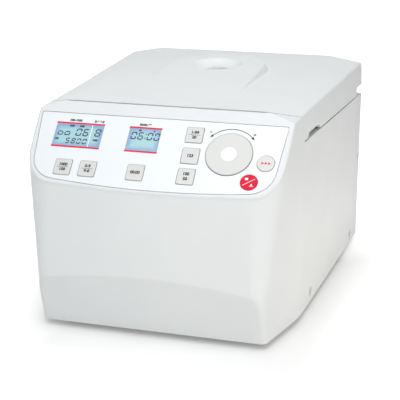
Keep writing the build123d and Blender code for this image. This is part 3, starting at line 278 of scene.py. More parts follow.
def blank_finish(name):
    """A new material with an empty node tree, and the tree's object coordinates."""
    material = bpy.data.materials.new(name)
    material.use_nodes = True
    material.node_tree.nodes.clear()
    place = put(material.node_tree, "ShaderNodeTexCoord").outputs["Object"]
    return material, material.node_tree, place


def close_finish(material, tree, inputs):
    """End a finish in one surface shader."""
    surface = put(tree, "ShaderNodeBsdfPrincipled", inputs)
    put(tree, "ShaderNodeOutputMaterial", {"Surface": surface.outputs[0]})
    return material


def noise(tree, place, size, detail=2.0, roughness=0.5):
    """Noise whose blotches are about size across."""
    inputs = {"Vector": place, "Scale": 1 / size, "Detail": detail, "Roughness": roughness}
    return put(tree, "ShaderNodeTexNoise", inputs).outputs["Fac"]


def fine_rings(tree, reach, pitch, detail):
    """Uneven rings about a pitch apart, along a reach from their middle."""
    inputs = {"W": maths(tree, "MULTIPLY", reach, 1 / pitch), "Scale": 1.0, "Detail": detail}
    return put(tree, "ShaderNodeTexNoise", inputs, noise_dimensions="1D").outputs["Fac"]


def spread(tree, value, low, high, start=0.3, end=0.7):
    """Stretch a pattern's values, from start to end, onto the range from low to high."""
    inputs = {"Value": value, "From Min": start, "From Max": end, "To Min": low, "To Max": high}
    return put(tree, "ShaderNodeMapRange", inputs).outputs["Result"]


def blend_colour(tree, factor, first, second):
    """Mix two colours by a factor."""
    item = put(tree, "ShaderNodeMix", {0: factor, 6: first, 7: second}, data_type="RGBA")
    return item.outputs[2]


def shade(colour, factor=1.0):
    """A colour made darker or lighter, with full alpha."""
    return (*(min(1.0, channel * factor) for channel in colour[:3]), 1.0)


def clouded(tree, pattern, colour, darkest, palest):
    """A colour that goes from a darker to a paler tone with a pattern."""
    return blend_colour(tree, spread(tree, pattern, 0, 1), shade(colour, darkest), shade(colour, palest))


def dent(tree, height, depth):
    """Bump from a height pattern."""
    return put(tree, "ShaderNodeBump", {"Height": height, "Distance": depth, "Strength": 1.0}).outputs[0]


def mapped(tree, place, scale, turn=(0, 0, 0), shift=(0, 0, 0)):
    """Coordinates turned, moved and stretched."""
    inputs = {"Vector": place, "Scale": scale, "Rotation": turn, "Location": shift}
    return put(tree, "ShaderNodeMapping", inputs).outputs[0]


def maths(tree, kind, first, second=0.0):
    """One step of arithmetic."""
    return put(tree, "ShaderNodeMath", {0: first, 1: second}, operation=kind).outputs[0]


def reach_of(tree, across, up):
    """The root of two lengths' summed squares."""
    squares = (maths(tree, "MULTIPLY", side, side) for side in (across, up))
    return maths(tree, "SQRT", maths(tree, "ADD", *squares))


def depth_between(tree, value, low, high):
    """How far a value lies inside the nearer of two ends."""
    above = maths(tree, "SUBTRACT", value, low)
    below = maths(tree, "SUBTRACT", high, value)
    return maths(tree, "MINIMUM", above, below)


def distance_beyond(tree, value, centre, half):
    """How far a value lies outside a stretch, and nothing inside it."""
    offset = maths(tree, "ABSOLUTE", maths(tree, "SUBTRACT", value, centre))
    return maths(tree, "MAXIMUM", maths(tree, "SUBTRACT", offset, half), 0.0)


def split_axes(tree, place):
    """The X, Y and Z of a place."""
    item = put(tree, "ShaderNodeSeparateXYZ", {"Vector": place})
    return item.outputs["X"], item.outputs["Y"], item.outputs["Z"]


def panel_place(tree, place):
    """X, Y and Z on the control panel, in metres."""
    turn = PANEL.to_3x3().transposed()
    shift = turn @ -PANEL.translation
    return split_axes(tree, mapped(tree, place, (1, 1, 1), turn.to_euler("XYZ"), shift))


def seen_directly(tree):
    """One for the camera, for gloss and for glass, and zero for the light that falls on the object."""
    rays = put(tree, "ShaderNodeLightPath").outputs
    reflected = maths(tree, "MAXIMUM", rays["Is Glossy Ray"], rays["Is Transmission Ray"])
    return maths(tree, "MAXIMUM", rays["Is Camera Ray"], reflected)


# ---- Finishes ----------------------------------------------------------------
def moulded(name, colour, roughness, grain=0.0006, depth=0.00002, mottle=0.97, coat_weight=0.0,
            shine=0.5, face=None):
    """Moulded plastic: a fine even grain over a faint change of tone.

    The control panel's face may take a darker, bluer colour of the same plastic, which is painted shade for
    how the light falls on that face, and which runs out just behind it.
    """
    material, tree, place = blank_finish(name)
    cloud = noise(tree, place, size=0.06, detail=3)
    fine = noise(tree, place, grain)
    body = clouded(tree, cloud, colour, mottle, 1.0)
    # painted shade: on the panel face the plastic takes a darker, bluer colour for how the light falls on
    # that face
    if face:
        behind = maths(tree, "ABSOLUTE", panel_place(tree, place)[2])
        away = spread(tree, behind, 0, 1, start=0.4 * MM, end=3 * MM)
        body = blend_colour(tree, away, clouded(tree, cloud, face, mottle, 1.0), body)
    return close_finish(material, tree, {
        "Base Color": body,
        "Roughness": spread(tree, fine, roughness - 0.05, roughness + 0.05),
        "Specular IOR Level": shine,
        "Coat Weight": coat_weight,
        "Coat Roughness": 0.25,
        "Normal": dent(tree, fine, depth),
    })


def sheet_metal(name, colour, roughness, stretch=(1, 1, 1)):
    """Sheet or bar metal with its fine lines run out along one axis."""
    material, tree, place = blank_finish(name)
    lines = noise(tree, mapped(tree, place, stretch), size=0.0015, detail=4)
    cloud = noise(tree, place, size=0.03, detail=3)
    return close_finish(material, tree, {
        "Base Color": clouded(tree, cloud, colour, 0.9, 1.05),
        "Metallic": 1.0,
        "Roughness": spread(tree, lines, roughness - 0.07, roughness + 0.09),
        "Normal": dent(tree, lines, 0.000004),
    })


def turned_metal(name, colour, roughness, pitch=0.0009, depth=0.000006):
    """Metal turned about the rotor's axis, with fine rings."""
    material, tree, place = blank_finish(name)
    x, y, z = split_axes(tree, mapped(tree, place, (1, 1, 1), shift=(0, -ROTOR_Y, 0)))
    run = maths(tree, "ADD", reach_of(tree, x, y), z)
    rings = fine_rings(tree, run, pitch, detail=3)
    return close_finish(material, tree, {
        "Base Color": clouded(tree, noise(tree, place, size=0.025), colour, 0.88, 1.05),
        "Metallic": 1.0,
        "Roughness": spread(tree, rings, roughness - 0.06, roughness + 0.08),
        "Normal": dent(tree, rings, depth),
    })


def moulded_rubber(name, colour, roughness):
    """Dull rubber with a dusty, uneven face."""
    material, tree, place = blank_finish(name)
    dust = noise(tree, place, size=0.008, detail=5, roughness=0.65)
    return close_finish(material, tree, {
        "Base Color": clouded(tree, dust, colour, 0.8, 1.5),
        "Roughness": spread(tree, dust, roughness - 0.08, roughness + 0.08),
        "Specular IOR Level": 0.3,
        "Normal": dent(tree, noise(tree, place, size=0.0004), 0.00004),
    })


def powder_coat(name, colour, roughness):
    """Powder paint with its slight orange peel."""
    material, tree, place = blank_finish(name)
    inputs = {"Vector": place, "Scale": 900.0, "Smoothness": 1.0}
    peel = put(tree, "ShaderNodeTexVoronoi", inputs, feature="SMOOTH_F1").outputs["Distance"]
    return close_finish(material, tree, {
        "Base Color": clouded(tree, noise(tree, place, size=0.05, detail=3), colour, 0.92, 1.04),
        "Roughness": spread(tree, peel, roughness - 0.06, roughness + 0.06, start=0, end=1),
        "Normal": dent(tree, peel, 0.00003),
    })


def ink(name, colour, roughness=0.5):
    """Printed ink with little shine, very slightly uneven in density."""
    material, tree, place = blank_finish(name)
    return close_finish(material, tree, {
        "Base Color": clouded(tree, noise(tree, place, size=0.0008, detail=3), colour, 0.9, 1.08),
        "Roughness": roughness,
        "Specular IOR Level": 0.15,
    })


def display_finish(name, glow, edge, sides):
    """Backlit display: paler in the middle of its window, bluer towards its edges."""
    material, tree, place = blank_finish(name)
    across, up, _ = panel_place(tree, place)
    beside = depth_between(tree, across, sides[0] * MM, sides[1] * MM)
    above = depth_between(tree, up, WINDOW_FOOT * MM, WINDOW_HEAD * MM)
    waver = spread(tree, noise(tree, place, size=0.009), -1.2 * MM, 1.2 * MM)
    near = maths(tree, "ADD", maths(tree, "MINIMUM", beside, above), waver)
    rim = 6 * MM
    inputs = {"Value": near, "From Min": 0.0, "From Max": rim}
    inside = put(tree, "ShaderNodeMapRange", inputs, interpolation_type="SMOOTHSTEP").outputs["Result"]
    return close_finish(material, tree, {
        "Base Color": blend_colour(tree, inside, shade(edge), shade(glow)),
        "Roughness": 0.3,
        "Coat Weight": 0.35,
        "Coat Roughness": 0.08,
    })


def dial_finish(name, face, rim):
    """Satin dial with a fine darker line near its edge and faint turning marks."""
    material, tree, place = blank_finish(name)
    across, up, _ = panel_place(tree, place)
    middle_x, middle_y, _ = panel_spot(*DIAL_PLACE)
    reach = reach_of(tree, maths(tree, "SUBTRACT", across, middle_x), maths(tree, "SUBTRACT", up, middle_y))
    line = spread(tree, reach, 0, 1, start=(DIAL_RADIUS - 1.1) * MM, end=(DIAL_RADIUS - 0.2) * MM)
    rings = fine_rings(tree, reach, pitch=0.0004, detail=2)
    return close_finish(material, tree, {
        "Base Color": blend_colour(tree, line, shade(face), shade(rim)),
        "Roughness": spread(tree, rings, 0.38, 0.5),
        "Normal": dent(tree, rings, 0.000004),
    })


def pane_finish(name, tint, clearness):
    """Milky moulded pane with faint smears."""
    material, tree, place = blank_finish(name)
    smear = noise(tree, mapped(tree, place, (1, 2.5, 1)), size=0.01, detail=4)
    return close_finish(material, tree, {
        "Base Color": shade(tint),
        "Transmission Weight": clearness,
        "IOR": 1.49,
        "Roughness": spread(tree, smear, 0.12, 0.22),
    })


def board_finish(name, mask, copper):
    """Circuit board: solder mask over square runs of copper, with bare tinned pads."""
    material, tree, place = blank_finish(name)
    runs = put(tree, "ShaderNodeTexBrick", {
        "Vector": place, "Color1": (0, 0, 0, 1), "Color2": (0, 0, 0, 1), "Mortar": (1, 1, 1, 1),
        "Scale": 180.0, "Mortar Size": 0.07, "Brick Width": 0.9, "Row Height": 0.3,
    }).outputs["Fac"]
    inputs = {"Vector": place, "Scale": 260.0, "Randomness": 0.6}
    pads = put(tree, "ShaderNodeTexVoronoi", inputs).outputs["Distance"]
    bare = maths(tree, "LESS_THAN", pads, 0.16)
    traced = blend_colour(tree, runs, shade(mask), shade(mask, 1.7))
    return close_finish(material, tree, {
        "Base Color": blend_colour(tree, bare, traced, shade(copper)),
        "Metallic": bare,
        "Roughness": spread(tree, noise(tree, place, size=0.02), 0.25, 0.4),
        "Normal": dent(tree, runs, 0.00002),
    })


# ---- Sizes and colours a user may change -------------------------------------
def colour_prop(name, description, default):
    """A colour with a swatch."""
    return bpy.props.FloatVectorProperty(
        name=name, description=description, subtype="COLOR", size=3, min=0, max=1, default=default
    )


def length_prop(name, description, default):
    """A length in metres."""
    return bpy.props.FloatProperty(
        name=name, description=description, default=default, min=0.0,
        unit="LENGTH", subtype="DISTANCE", precision=5,
    )


class CentrifugeColours(bpy.types.PropertyGroup):
    """Colours of the finishes."""

    case: colour_prop("Case", "Moulded housing and lid", (0.80, 0.82, 0.825))
    # painted shade: the panel face is the case's own plastic, coloured darker and bluer here for how the
    # light falls on that face
    face: colour_prop("Panel face", "Sloping face of the housing round the foil", (0.745, 0.763, 0.783))
    foil: colour_prop("Foil", "Printed foil of the control panel", (0.79, 0.825, 0.855))
    key: colour_prop("Keys", "Grey keys", (0.65, 0.655, 0.65))
    halt: colour_prop("Stop key", "Round stop key", (0.72, 0.012, 0.045))
    dial: colour_prop("Dial", "Face of the dial", (0.64, 0.645, 0.635))
    glow: colour_prop("Display", "Middle of each display window", (0.37, 0.60, 0.66))
    glow_edge: colour_prop("Display edge", "Edge of each display window", (0.23, 0.38, 0.60))
    figures: colour_prop("Display figures", "Dark figures on the displays", (0.03, 0.06, 0.09))
    bars: colour_prop("Bars", "Bars above and below each display", (0.74, 0.03, 0.075))
    ink: colour_prop("Ink", "Printed legends", (0.05, 0.05, 0.055))
    sleeve: colour_prop("Sleeves", "Tube sleeves in the rotor", (0.02, 0.09, 0.26))


class CentrifugeSizes(bpy.types.PropertyGroup):
    """Sizes of the printing and the fasteners, and the strength of the sky."""

    print_height: length_prop("Ink height", "Thickness of the printing", 0.00006)
    digit_height: length_prop("Tall figures", "Height of the tall display figures", 0.0078)
    small_digit_height: length_prop("Small figures", "Height of the second row of figures", 0.0058)
    segment_width: length_prop("Segment", "Width of a stroke of the display figures", 0.00115)
    bar_width: length_prop("Bar", "Width of the bars above and below the displays", 0.0017)
    arc_radius: length_prop("Arc", "Radius of the arrow round the dial", 0.0256)
    outline_width: length_prop("Outline", "Width of the fine line round the foil and its openings", 0.0003)
    line_width: length_prop("Line", "Width of the arrow round the dial and of its minus and plus", 0.00075)
    legend_height: length_prop("Legend", "Height of the figures on the keys", 0.0028)
    legend_weight: length_prop("Legend weight", "How much the strokes of the legends are widened", 0.0002)
    key_proud: length_prop("Key rise", "How far the keys stand out of the foil", 0.0007)
    dial_proud: length_prop("Dial rise", "How far the dial stands out of the foil", 0.001)
    screw_radius: length_prop("Screw head", "Radius of the small screws' heads", 0.0028)
    screw_height: length_prop("Screw head height", "Height of the small screws' heads", 0.0012)
    sky: bpy.props.FloatProperty(
        name="Sky", description="Strength of the light from all round", default=0.22, min=0.0
    )


def colours():
    """The colours in use."""
    return bpy.context.scene.centrifuge_colours


def sizes():
    """The sizes in use."""
    return bpy.context.scene.centrifuge_sizes


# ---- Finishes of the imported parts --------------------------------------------
class CENTRIFUGE_OT_finish_case(bpy.types.Operator):
    """Finish the moulded housing, lid, inner shell, seals and sight glass."""

    bl_idname = "centrifuge.finish_case"
    bl_label = "Finish the case"

    def execute(self, context):
        hues = colours()
        # the case plastic carries painted shade on the panel face, coloured by face
        coat(["housing", "lid_cover"], moulded("case_plastic_and_painted_face_shade", hues.case, 0.48, grain=0.0007,
                                               depth=0.000035, shine=0.3, face=hues.face))
        coat(["lid_liner"],
             moulded("inner_shell_plastic", (0.56, 0.57, 0.58), 0.5, grain=0.0009, depth=0.00006))
        coat(["chamber_gasket", "shaft_seal", "motor_mounts", "feet", "keypad_mat"],
             moulded_rubber("seal_rubber", (0.028, 0.028, 0.03), 0.62))
        coat(["sight_glass"], pane_finish("sight_pane", (0.80, 0.83, 0.84), 0.35))
        coat(["glass_ring"], moulded("ring_plastic", (0.03, 0.03, 0.032), 0.4))
        return {"FINISHED"}


class CENTRIFUGE_OT_finish_panel(bpy.types.Operator):
    """Finish the foil, keys, dial, displays and boards."""

    bl_idname = "centrifuge.finish_panel"
    bl_label = "Finish the control panel"

    def execute(self, context):
        hues = colours()
        coat(["panel_foil"], moulded("foil_print", hues.foil, 0.4, grain=0.0003, depth=0.000006,
                                     mottle=0.985, coat_weight=0.15))
        coat([name for name in KEY_PLACES if name != "key_stop"],
             moulded("key_plastic", hues.key, 0.42, grain=0.0004, depth=0.00001))
        coat(["key_stop"], moulded("stop_key_plastic", hues.halt, 0.5, grain=0.0004, depth=0.00001,
                                   mottle=0.95, shine=0.15))
        coat(["dial"], dial_finish("dial_plastic", hues.dial, (0.52, 0.53, 0.54)))
        for name, sides in WINDOW_SIDES.items():
            coat([name], display_finish(name + "_lit", hues.glow, hues.glow_edge, sides))
        coat(["control_board", "power_board"],
             board_finish("board_mask", (0.01, 0.12, 0.05), (0.75, 0.72, 0.62)))
        coat(["encoder"], sheet_metal("encoder_can", (0.62, 0.62, 0.60), 0.32, (1, 1, 6)))
        return {"FINISHED"}


class CENTRIFUGE_OT_finish_works(bpy.types.Operator):
    """Finish the chamber, rotor, drive, hinges, lock and back."""

    bl_idname = "centrifuge.finish_works"
    bl_label = "Finish the works"

    def execute(self, context):
        coat(["chamber_bowl"], turned_metal("bowl_steel", (0.60, 0.61, 0.62), 0.27))
        coat(["rotor"], turned_metal("rotor_anodised", (0.10, 0.105, 0.115), 0.34, pitch=0.0012))
        coat(["rotor_nut"], turned_metal("nut_alloy", (0.62, 0.63, 0.65), 0.3))
        coat(["motor_shaft", "motor_bearings"],
             turned_metal("ground_steel", (0.55, 0.55, 0.56), 0.2, pitch=0.0005))
        coat(["motor_housing"],
             turned_metal("motor_alloy", (0.42, 0.43, 0.45), 0.4, pitch=0.0015, depth=0.00001))
        coat(["tube_sleeves"], moulded("sleeve_plastic", colours().sleeve, 0.35, grain=0.0008, mottle=0.9))
        coat(["lid_plate"], turned_metal("lid_steel", (0.58, 0.59, 0.60), 0.3, pitch=0.0012))
        coat(["lid_striker", "hinge_arms", "motor_plate", "lock_solenoid"],
             sheet_metal("zinc_plate", (0.56, 0.57, 0.56), 0.34, (1, 8, 1)))
        coat(["hinge_brackets", "heat_sink"], sheet_metal("drawn_alloy", (0.55, 0.56, 0.58), 0.36, (1, 8, 1)))
        coat(["hinge_pins", "lock_bolt", "foot_screws"],
             sheet_metal("bright_steel", (0.60, 0.60, 0.61), 0.24, (6, 1, 1)))
        coat(["side_screws"], powder_coat("screw_paint", (0.50, 0.51, 0.50), 0.4))
        coat(["lock_housing", "power_inlet", "fuse_drawer", "switch_frame", "fan_frame", "fan_impeller"],
             moulded("black_plastic", (0.022, 0.022, 0.024), 0.42, depth=0.00004, mottle=0.85))
        coat(["rocker"], moulded("rocker_plastic", (0.018, 0.018, 0.02), 0.25, grain=0.0005,
                                 depth=0.000006, mottle=0.9, coat_weight=0.3))
        coat(["floor_plate", "rear_panel"], powder_coat("grey_powder", (0.27, 0.28, 0.29), 0.48))
        coat(["inlet_pins"], sheet_metal("blade_brass", (0.72, 0.56, 0.28), 0.25, (1, 6, 1)))
        return {"FINISHED"}


# ---- Printing on the panel ---------------------------------------------------
# The strokes of each figure. From the top down, a, g and d lie across; f and b stand in the upper half, and
# e and c in the lower; l and u are the lower and the upper dot.
STROKES = {
    "0": "abcdef", "1": "bc", "2": "abged", "3": "abgcd", "4": "fgbc", "5": "afgcd", "6": "afgedc",
    "7": "abc", "8": "abcdefg", "9": "abcdfg", "o": "cdeg", ":": "lu",
}


def figures(text, height, width, lift, at, aspect=0.7):
    """A run of slanted seven-stroke figures, as separate strokes; at is the lower left corner."""
    lean = 0.14
    wide = height * aspect
    half = height / 2
    edge = width / 2
    gap = width * 0.08
    tip = width * 0.42
    across = bar((wide - width - gap, width, lift), point=tip)
    upright = bar((width, half - width - gap, lift), point=tip)
    dot = bar((width, width, lift))
    places = {
        "a": (across, wide / 2, height - edge),
        "g": (across, wide / 2, half),
        "d": (across, wide / 2, edge),
        "f": (upright, edge, half * 1.5),
        "b": (upright, wide - edge, half * 1.5),
        "e": (upright, edge, half * 0.5),
        "c": (upright, wide - edge, half * 0.5),
        "l": (dot, edge, height * 0.25),
        "u": (dot, edge, height * 0.75),
    }
    slanted = Matrix(((1, lean, 0, 0), (0, 1, 0, 0), (0, 0, 1, 0), (0, 0, 0, 1)))
    strokes = []
    left = 0.0
    for sign in text:
        for letter in STROKES[sign]:
            source, x, y = places[letter]
            stroke = copy_of(source, Matrix.Identity(4))
            place = Matrix.Translation(at) @ slanted @ Matrix.Translation((left + x, y, 0))
            stroke.data.transform(place)
            stroke.matrix_world = Matrix.Identity(4)
            strokes.append(stroke)
        left += width * 2.0 if sign == ":" else wide + width * 1.3
    for source in (across, upright, dot):
        bpy.data.objects.remove(source)
    return strokes


class CENTRIFUGE_OT_line_openings(bpy.types.Operator):
    """Model the fine printed line along the foil's edge and round its keys and dial."""

    bl_idname = "centrifuge.line_openings"
    bl_label = "Lines round the openings"

    def execute(self, context):
        size = sizes()
        outward = PANEL.to_3x3() @ Vector(UP)
        to_panel = PANEL.inverted()
        stop_middle = PANEL @ Vector(panel_spot(*KEY_PLACES["key_stop"]))
        stop_reach = 9 * MM

        def off_face(face):
            """Whether a face isn't part of the foil's front."""
            return face.normal.dot(outward) < 0.99 or (to_panel @ face.verts[0].co).z < -0.1 * MM

        line = copy_of(NODES["panel_foil"], Matrix.Identity(4))
        pick(line)
        bpy.ops.object.mode_set(mode="EDIT")
        choose("FACE", off_face)
        bpy.ops.mesh.delete(type="FACE")
        bpy.ops.mesh.select_all(action="SELECT")
        bpy.ops.mesh.dissolve_limited(angle_limit=radians(0.5))
        bpy.ops.mesh.select_all(action="SELECT")
        bpy.ops.mesh.inset(thickness=size.outline_width, depth=size.print_height / 2)
        bpy.ops.mesh.delete(type="FACE")
        choose("FACE", lambda face: (face.calc_center_median() - stop_middle).length < stop_reach)
        bpy.ops.mesh.delete(type="FACE")
        bpy.ops.object.mode_set(mode="OBJECT")
        finish_piece([line], "panel_lines", "base", ink("line_ink", (0.36, 0.36, 0.35)))
        return {"FINISHED"}


class CENTRIFUGE_OT_print_displays(bpy.types.Operator):
    """Model the bars, dividing line, figures and marks of both displays."""

    bl_idname = "centrifuge.print_displays"
    bl_label = "Display printing"

    def execute(self, context):
        size, hues = sizes(), colours()
        lift = size.print_height
        glass_drop = 0.3 * MM
        on_foil = PANEL @ Matrix.Translation((0, 0, lift / 2))
        on_glass = PANEL @ Matrix.Translation((0, 0, lift / 2 - glass_drop))

        bars = []
        for low, high in BAR_ENDS:
            for up in BAR_HEIGHTS:
                shape = ((high - low) * MM, size.bar_width, lift)
                bars.append(bar(shape, at=panel_spot((low + high) / 2, up), point=0.1 * MM))
        finish_piece(bars, "display_bars", "base", ink("red_ink", hues.bars), on_foil)

        divider = bar((0.7 * MM, 23 * MM, lift * 3), at=panel_spot(-64.4, -37.3), point=0.1 * MM)
        white = ink("white_ink", (0.9, 0.92, 0.94))
        finish_piece([divider], "display_divider", "base", white, on_glass)

        tall, small, stroke = size.digit_height, size.small_digit_height, size.segment_width
        strokes = figures("06", tall, stroke, lift, panel_spot(-79.4, -37.9))
        strokes += figures("oo", tall, stroke * 0.9, lift, panel_spot(-96.9, -38.0))
        strokes += figures("5800", small, stroke * 0.9, lift, panel_spot(-87.2, -46.3))
        strokes += figures("8", tall, stroke, lift, panel_spot(-61.0, -37.4))
        strokes += figures("06:00", tall, stroke * 0.95, lift, panel_spot(-26.2, -37.3), aspect=0.66)
        strokes += self.letter(1.7 * MM, (
            ("1000", -84.4, -27.7), ("1000", -74.6, -27.7), ("100", -96.0, -42.0),
            ("1000", -58.7, -41.4), ("00", -18.2, -27.8), ("0", -4.6, -27.8),
        ))
        dark = ink("display_dark", hues.figures, 0.35)
        finish_piece(strokes, "display_figures", "base", dark, on_glass)

        labels = self.letter(2.2 * MM, (
            ("100-1000", -81.8, -21.9), ("0-9 9-0", -58.8, -21.9), ("00:00-99", -14.3, -21.9),
        ))
        finish_piece(labels, "display_numbers", "base", ink("black_ink", hues.ink), on_foil)
        return {"FINISHED"}

    def letter(self, height, signs):
        """Small lettered numbers of one height, each at its place on the panel."""
        size = sizes()
        return [lettering(text, height, size.print_height, panel_spot(across, up), size.legend_weight)
                for text, across, up in signs]


class CENTRIFUGE_OT_print_dial(bpy.types.Operator):
    """Model the arrow, minus and plus round the dial, and the pale cup in its middle."""

    bl_idname = "centrifuge.print_dial"
    bl_label = "Dial printing"

    def execute(self, context):
        self.print_marks()
        self.add_cup()
        return {"FINISHED"}

    def print_marks(self):
        """The two-headed arrow with the minus at its left and the plus at its right."""
        size = sizes()
        lift = size.print_height
        start, end = radians(43), radians(137)
        clear_selection()
        bpy.ops.mesh.primitive_plane_add(size=1)
        arc = bpy.context.object
        arc.scale = (size.line_width, lift, 1)
        arc.rotation_euler = (pi / 2, 0, 0)
        arc.location = (size.arc_radius, 0, 0)
        bpy.ops.object.transform_apply(location=True, rotation=True, scale=True)
        bpy.ops.object.mode_set(mode="EDIT")
        bpy.ops.mesh.select_all(action="SELECT")
        bpy.ops.mesh.spin(steps=48, angle=end - start, center=(0, 0, 0), axis=UP)
        bpy.ops.mesh.select_all(action="SELECT")
        bpy.ops.mesh.normals_make_consistent(inside=False)
        bpy.ops.object.mode_set(mode="OBJECT")
        # a spin may go either way round, so the arc is turned from whichever end it began at
        reach = max(corner.co.y for corner in arc.data.vertices)
        arc.rotation_euler = (0, 0, start if reach > size.arc_radius / 2 else end)
        arc.location = panel_spot(*DIAL_PLACE)
        marks = [arc]
        for angle, onward in ((end, pi / 2), (start, -pi / 2)):
            spot = Vector((cos(angle), sin(angle), 0)) * size.arc_radius
            place = Vector(panel_spot(*DIAL_PLACE)) + spot
            marks.append(wedge(1.55 * MM, lift, place, angle + onward, length=1.6))
        minus, plus = panel_spot(47.5, -24.4), panel_spot(87.4, -24.4)
        lying, standing = (2.6 * MM, size.line_width, lift), (size.line_width, 2.6 * MM, lift)
        for shape, place in ((lying, minus), (lying, plus), (standing, plus)):
            marks.append(bar(shape, at=place, point=0.08 * MM))
        black = ink("arrow_ink", colours().ink)
        finish_piece(marks, "dial_arrow", "base", black, PANEL @ Matrix.Translation((0, 0, lift / 2)))

    def add_cup(self):
        """The shallow cup in the middle of the dial."""
        cup = disc(7.05 * MM, 0.46 * MM, sides=64)
        bpy.ops.object.mode_set(mode="EDIT")
        choose("FACE", lambda face: face.normal.z > 0.9)
        for inset, drop in ((0.25, 0.0), (0.9, -0.07), (1.6, -0.10), (2.2, -0.06)):
            bpy.ops.mesh.inset(thickness=inset * MM)
            bpy.ops.transform.translate(value=(0, 0, drop * MM))
        bpy.ops.object.mode_set(mode="OBJECT")
        cup.location = panel_spot(*DIAL_PLACE, sizes().dial_proud - 0.5 * MM)
        finish_piece([cup], "dial_cup", "dial_knob", moulded("cup_plastic", (0.90, 0.93, 0.95), 0.35), PANEL)


class CENTRIFUGE_OT_print_keys(bpy.types.Operator):
    """Model the plain figures and signs on the keys, one piece for each key."""

    bl_idname = "centrifuge.print_keys"
    bl_label = "Key legends"

    def execute(self, context):
        size = sizes()
        lift, weight = size.print_height, size.legend_weight
        on_key = PANEL @ Matrix.Translation((0, 0, size.key_proud + lift / 2))
        black = ink("legend_ink", colours().ink)
        rows = {
            "key_program": ("1-99", "20"), "key_store": ("123",), "key_pulse": ("100", "50"),
            "key_speed": ("1000", "100"), "key_ramp": ("0-9", "9-0"), "key_time": ("00:00",),
        }
        ruled = ("key_program", "key_speed", "key_ramp")
        step = size.legend_height * 0.88
        for name, texts in rows.items():
            across, up, _ = panel_spot(*KEY_PLACES[name])
            rises = (0,) if len(texts) == 1 else (step, -step)
            parts = [lettering(text, size.legend_height, lift, (across, up + rise, 0), weight)
                     for text, rise in zip(texts, rises)]
            if name in ruled:
                parts.append(bar((11.0 * MM, 0.3 * MM, lift), at=(across, up, 0), point=0.05 * MM))
            finish_piece(parts, name.replace("key_", "legend_"), name + "_cap", black, on_key)

        across, up = KEY_PLACES["key_start"]
        arrows = [wedge(1.6 * MM, lift, panel_spot(across + shift, up)) for shift in (-3.1, -0.1, 2.9)]
        finish_piece(arrows, "legend_start", "key_start_cap", ink("start_ink", colours().bars), on_key)

        across, up = KEY_PLACES["key_stop"]
        signs = [
            bar((12.5 * MM, 0.45 * MM, lift), at=panel_spot(across, up), turn=radians(34), point=0.1 * MM),
            bar((2.7 * MM, 2.2 * MM, lift), at=panel_spot(across - 2.4, up + 2.9), point=0.2 * MM),
            bar((3.4 * MM, 0.5 * MM, lift), at=panel_spot(across + 2.6, up - 4.0), point=0.1 * MM),
            wedge(1.35 * MM, lift, panel_spot(across + 2.6, up - 2.7), pi / 2),
        ]
        finish_piece(signs, "legend_stop", "key_stop_cap", ink("stop_ink", (0.9, 0.92, 0.93)), on_key)
        return {"FINISHED"}


# ---- Fasteners and signs -----------------------------------------------------
BEHIND = 0.3        # Y of a place behind the back
UNDERNEATH = -0.05  # Z of a place below the feet


def spot_on(node, start, heading):
    """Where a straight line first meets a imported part, and the direction out of its face there."""
    hit, place, outward, _ = NODES[node].ray_cast(Vector(start), Vector(heading))
    if not hit:
        raise ValueError(f"no face of {node} lies on the line from {tuple(start)}")
    return place, outward


def facing(place, outward, upward=UP):
    """Matrix that stands a piece on a face, Z out of the face and Y as near as it can be to upward."""
    out = Vector(outward).normalized()
    across = Vector(upward).cross(out).normalized()
    turn = Matrix((across, out.cross(across), out)).transposed()
    return Matrix.Translation(place) @ turn.to_4x4()


def cross_head(radius, height):
    """A pan head with a cross recess, standing on the XY plane."""
    head = disc(radius, height, sides=28, soften=height * 0.4)
    for turn in (pi / 4, -pi / 4):
        cutter = bar((radius * 1.15, radius * 0.24, height), at=(0, 0, height), turn=turn)
        pick(head)
        recess = head.modifiers.new("recess", "BOOLEAN")
        recess.operation = "DIFFERENCE"
        recess.object = cutter
        bpy.ops.object.modifier_apply(modifier="recess")
        bpy.data.objects.remove(cutter)
    return head


def screw_set(name, body, node, starts, heading, upward=UP, share=1.0):
    """Cross-recessed screws standing where straight lines meet a part."""
    size = sizes()
    head = cross_head(size.screw_radius * share, size.screw_height * share)
    heads = []
    for start in starts:
        place, outward = spot_on(node, start, heading)
        heads.append(copy_of(head, facing(place, outward, upward)))
    bpy.data.objects.remove(head)
    steel = bpy.data.materials.get("screw_steel")
    finish_piece(heads, name, body, steel or sheet_metal("screw_steel", (0.58, 0.58, 0.59), 0.3))


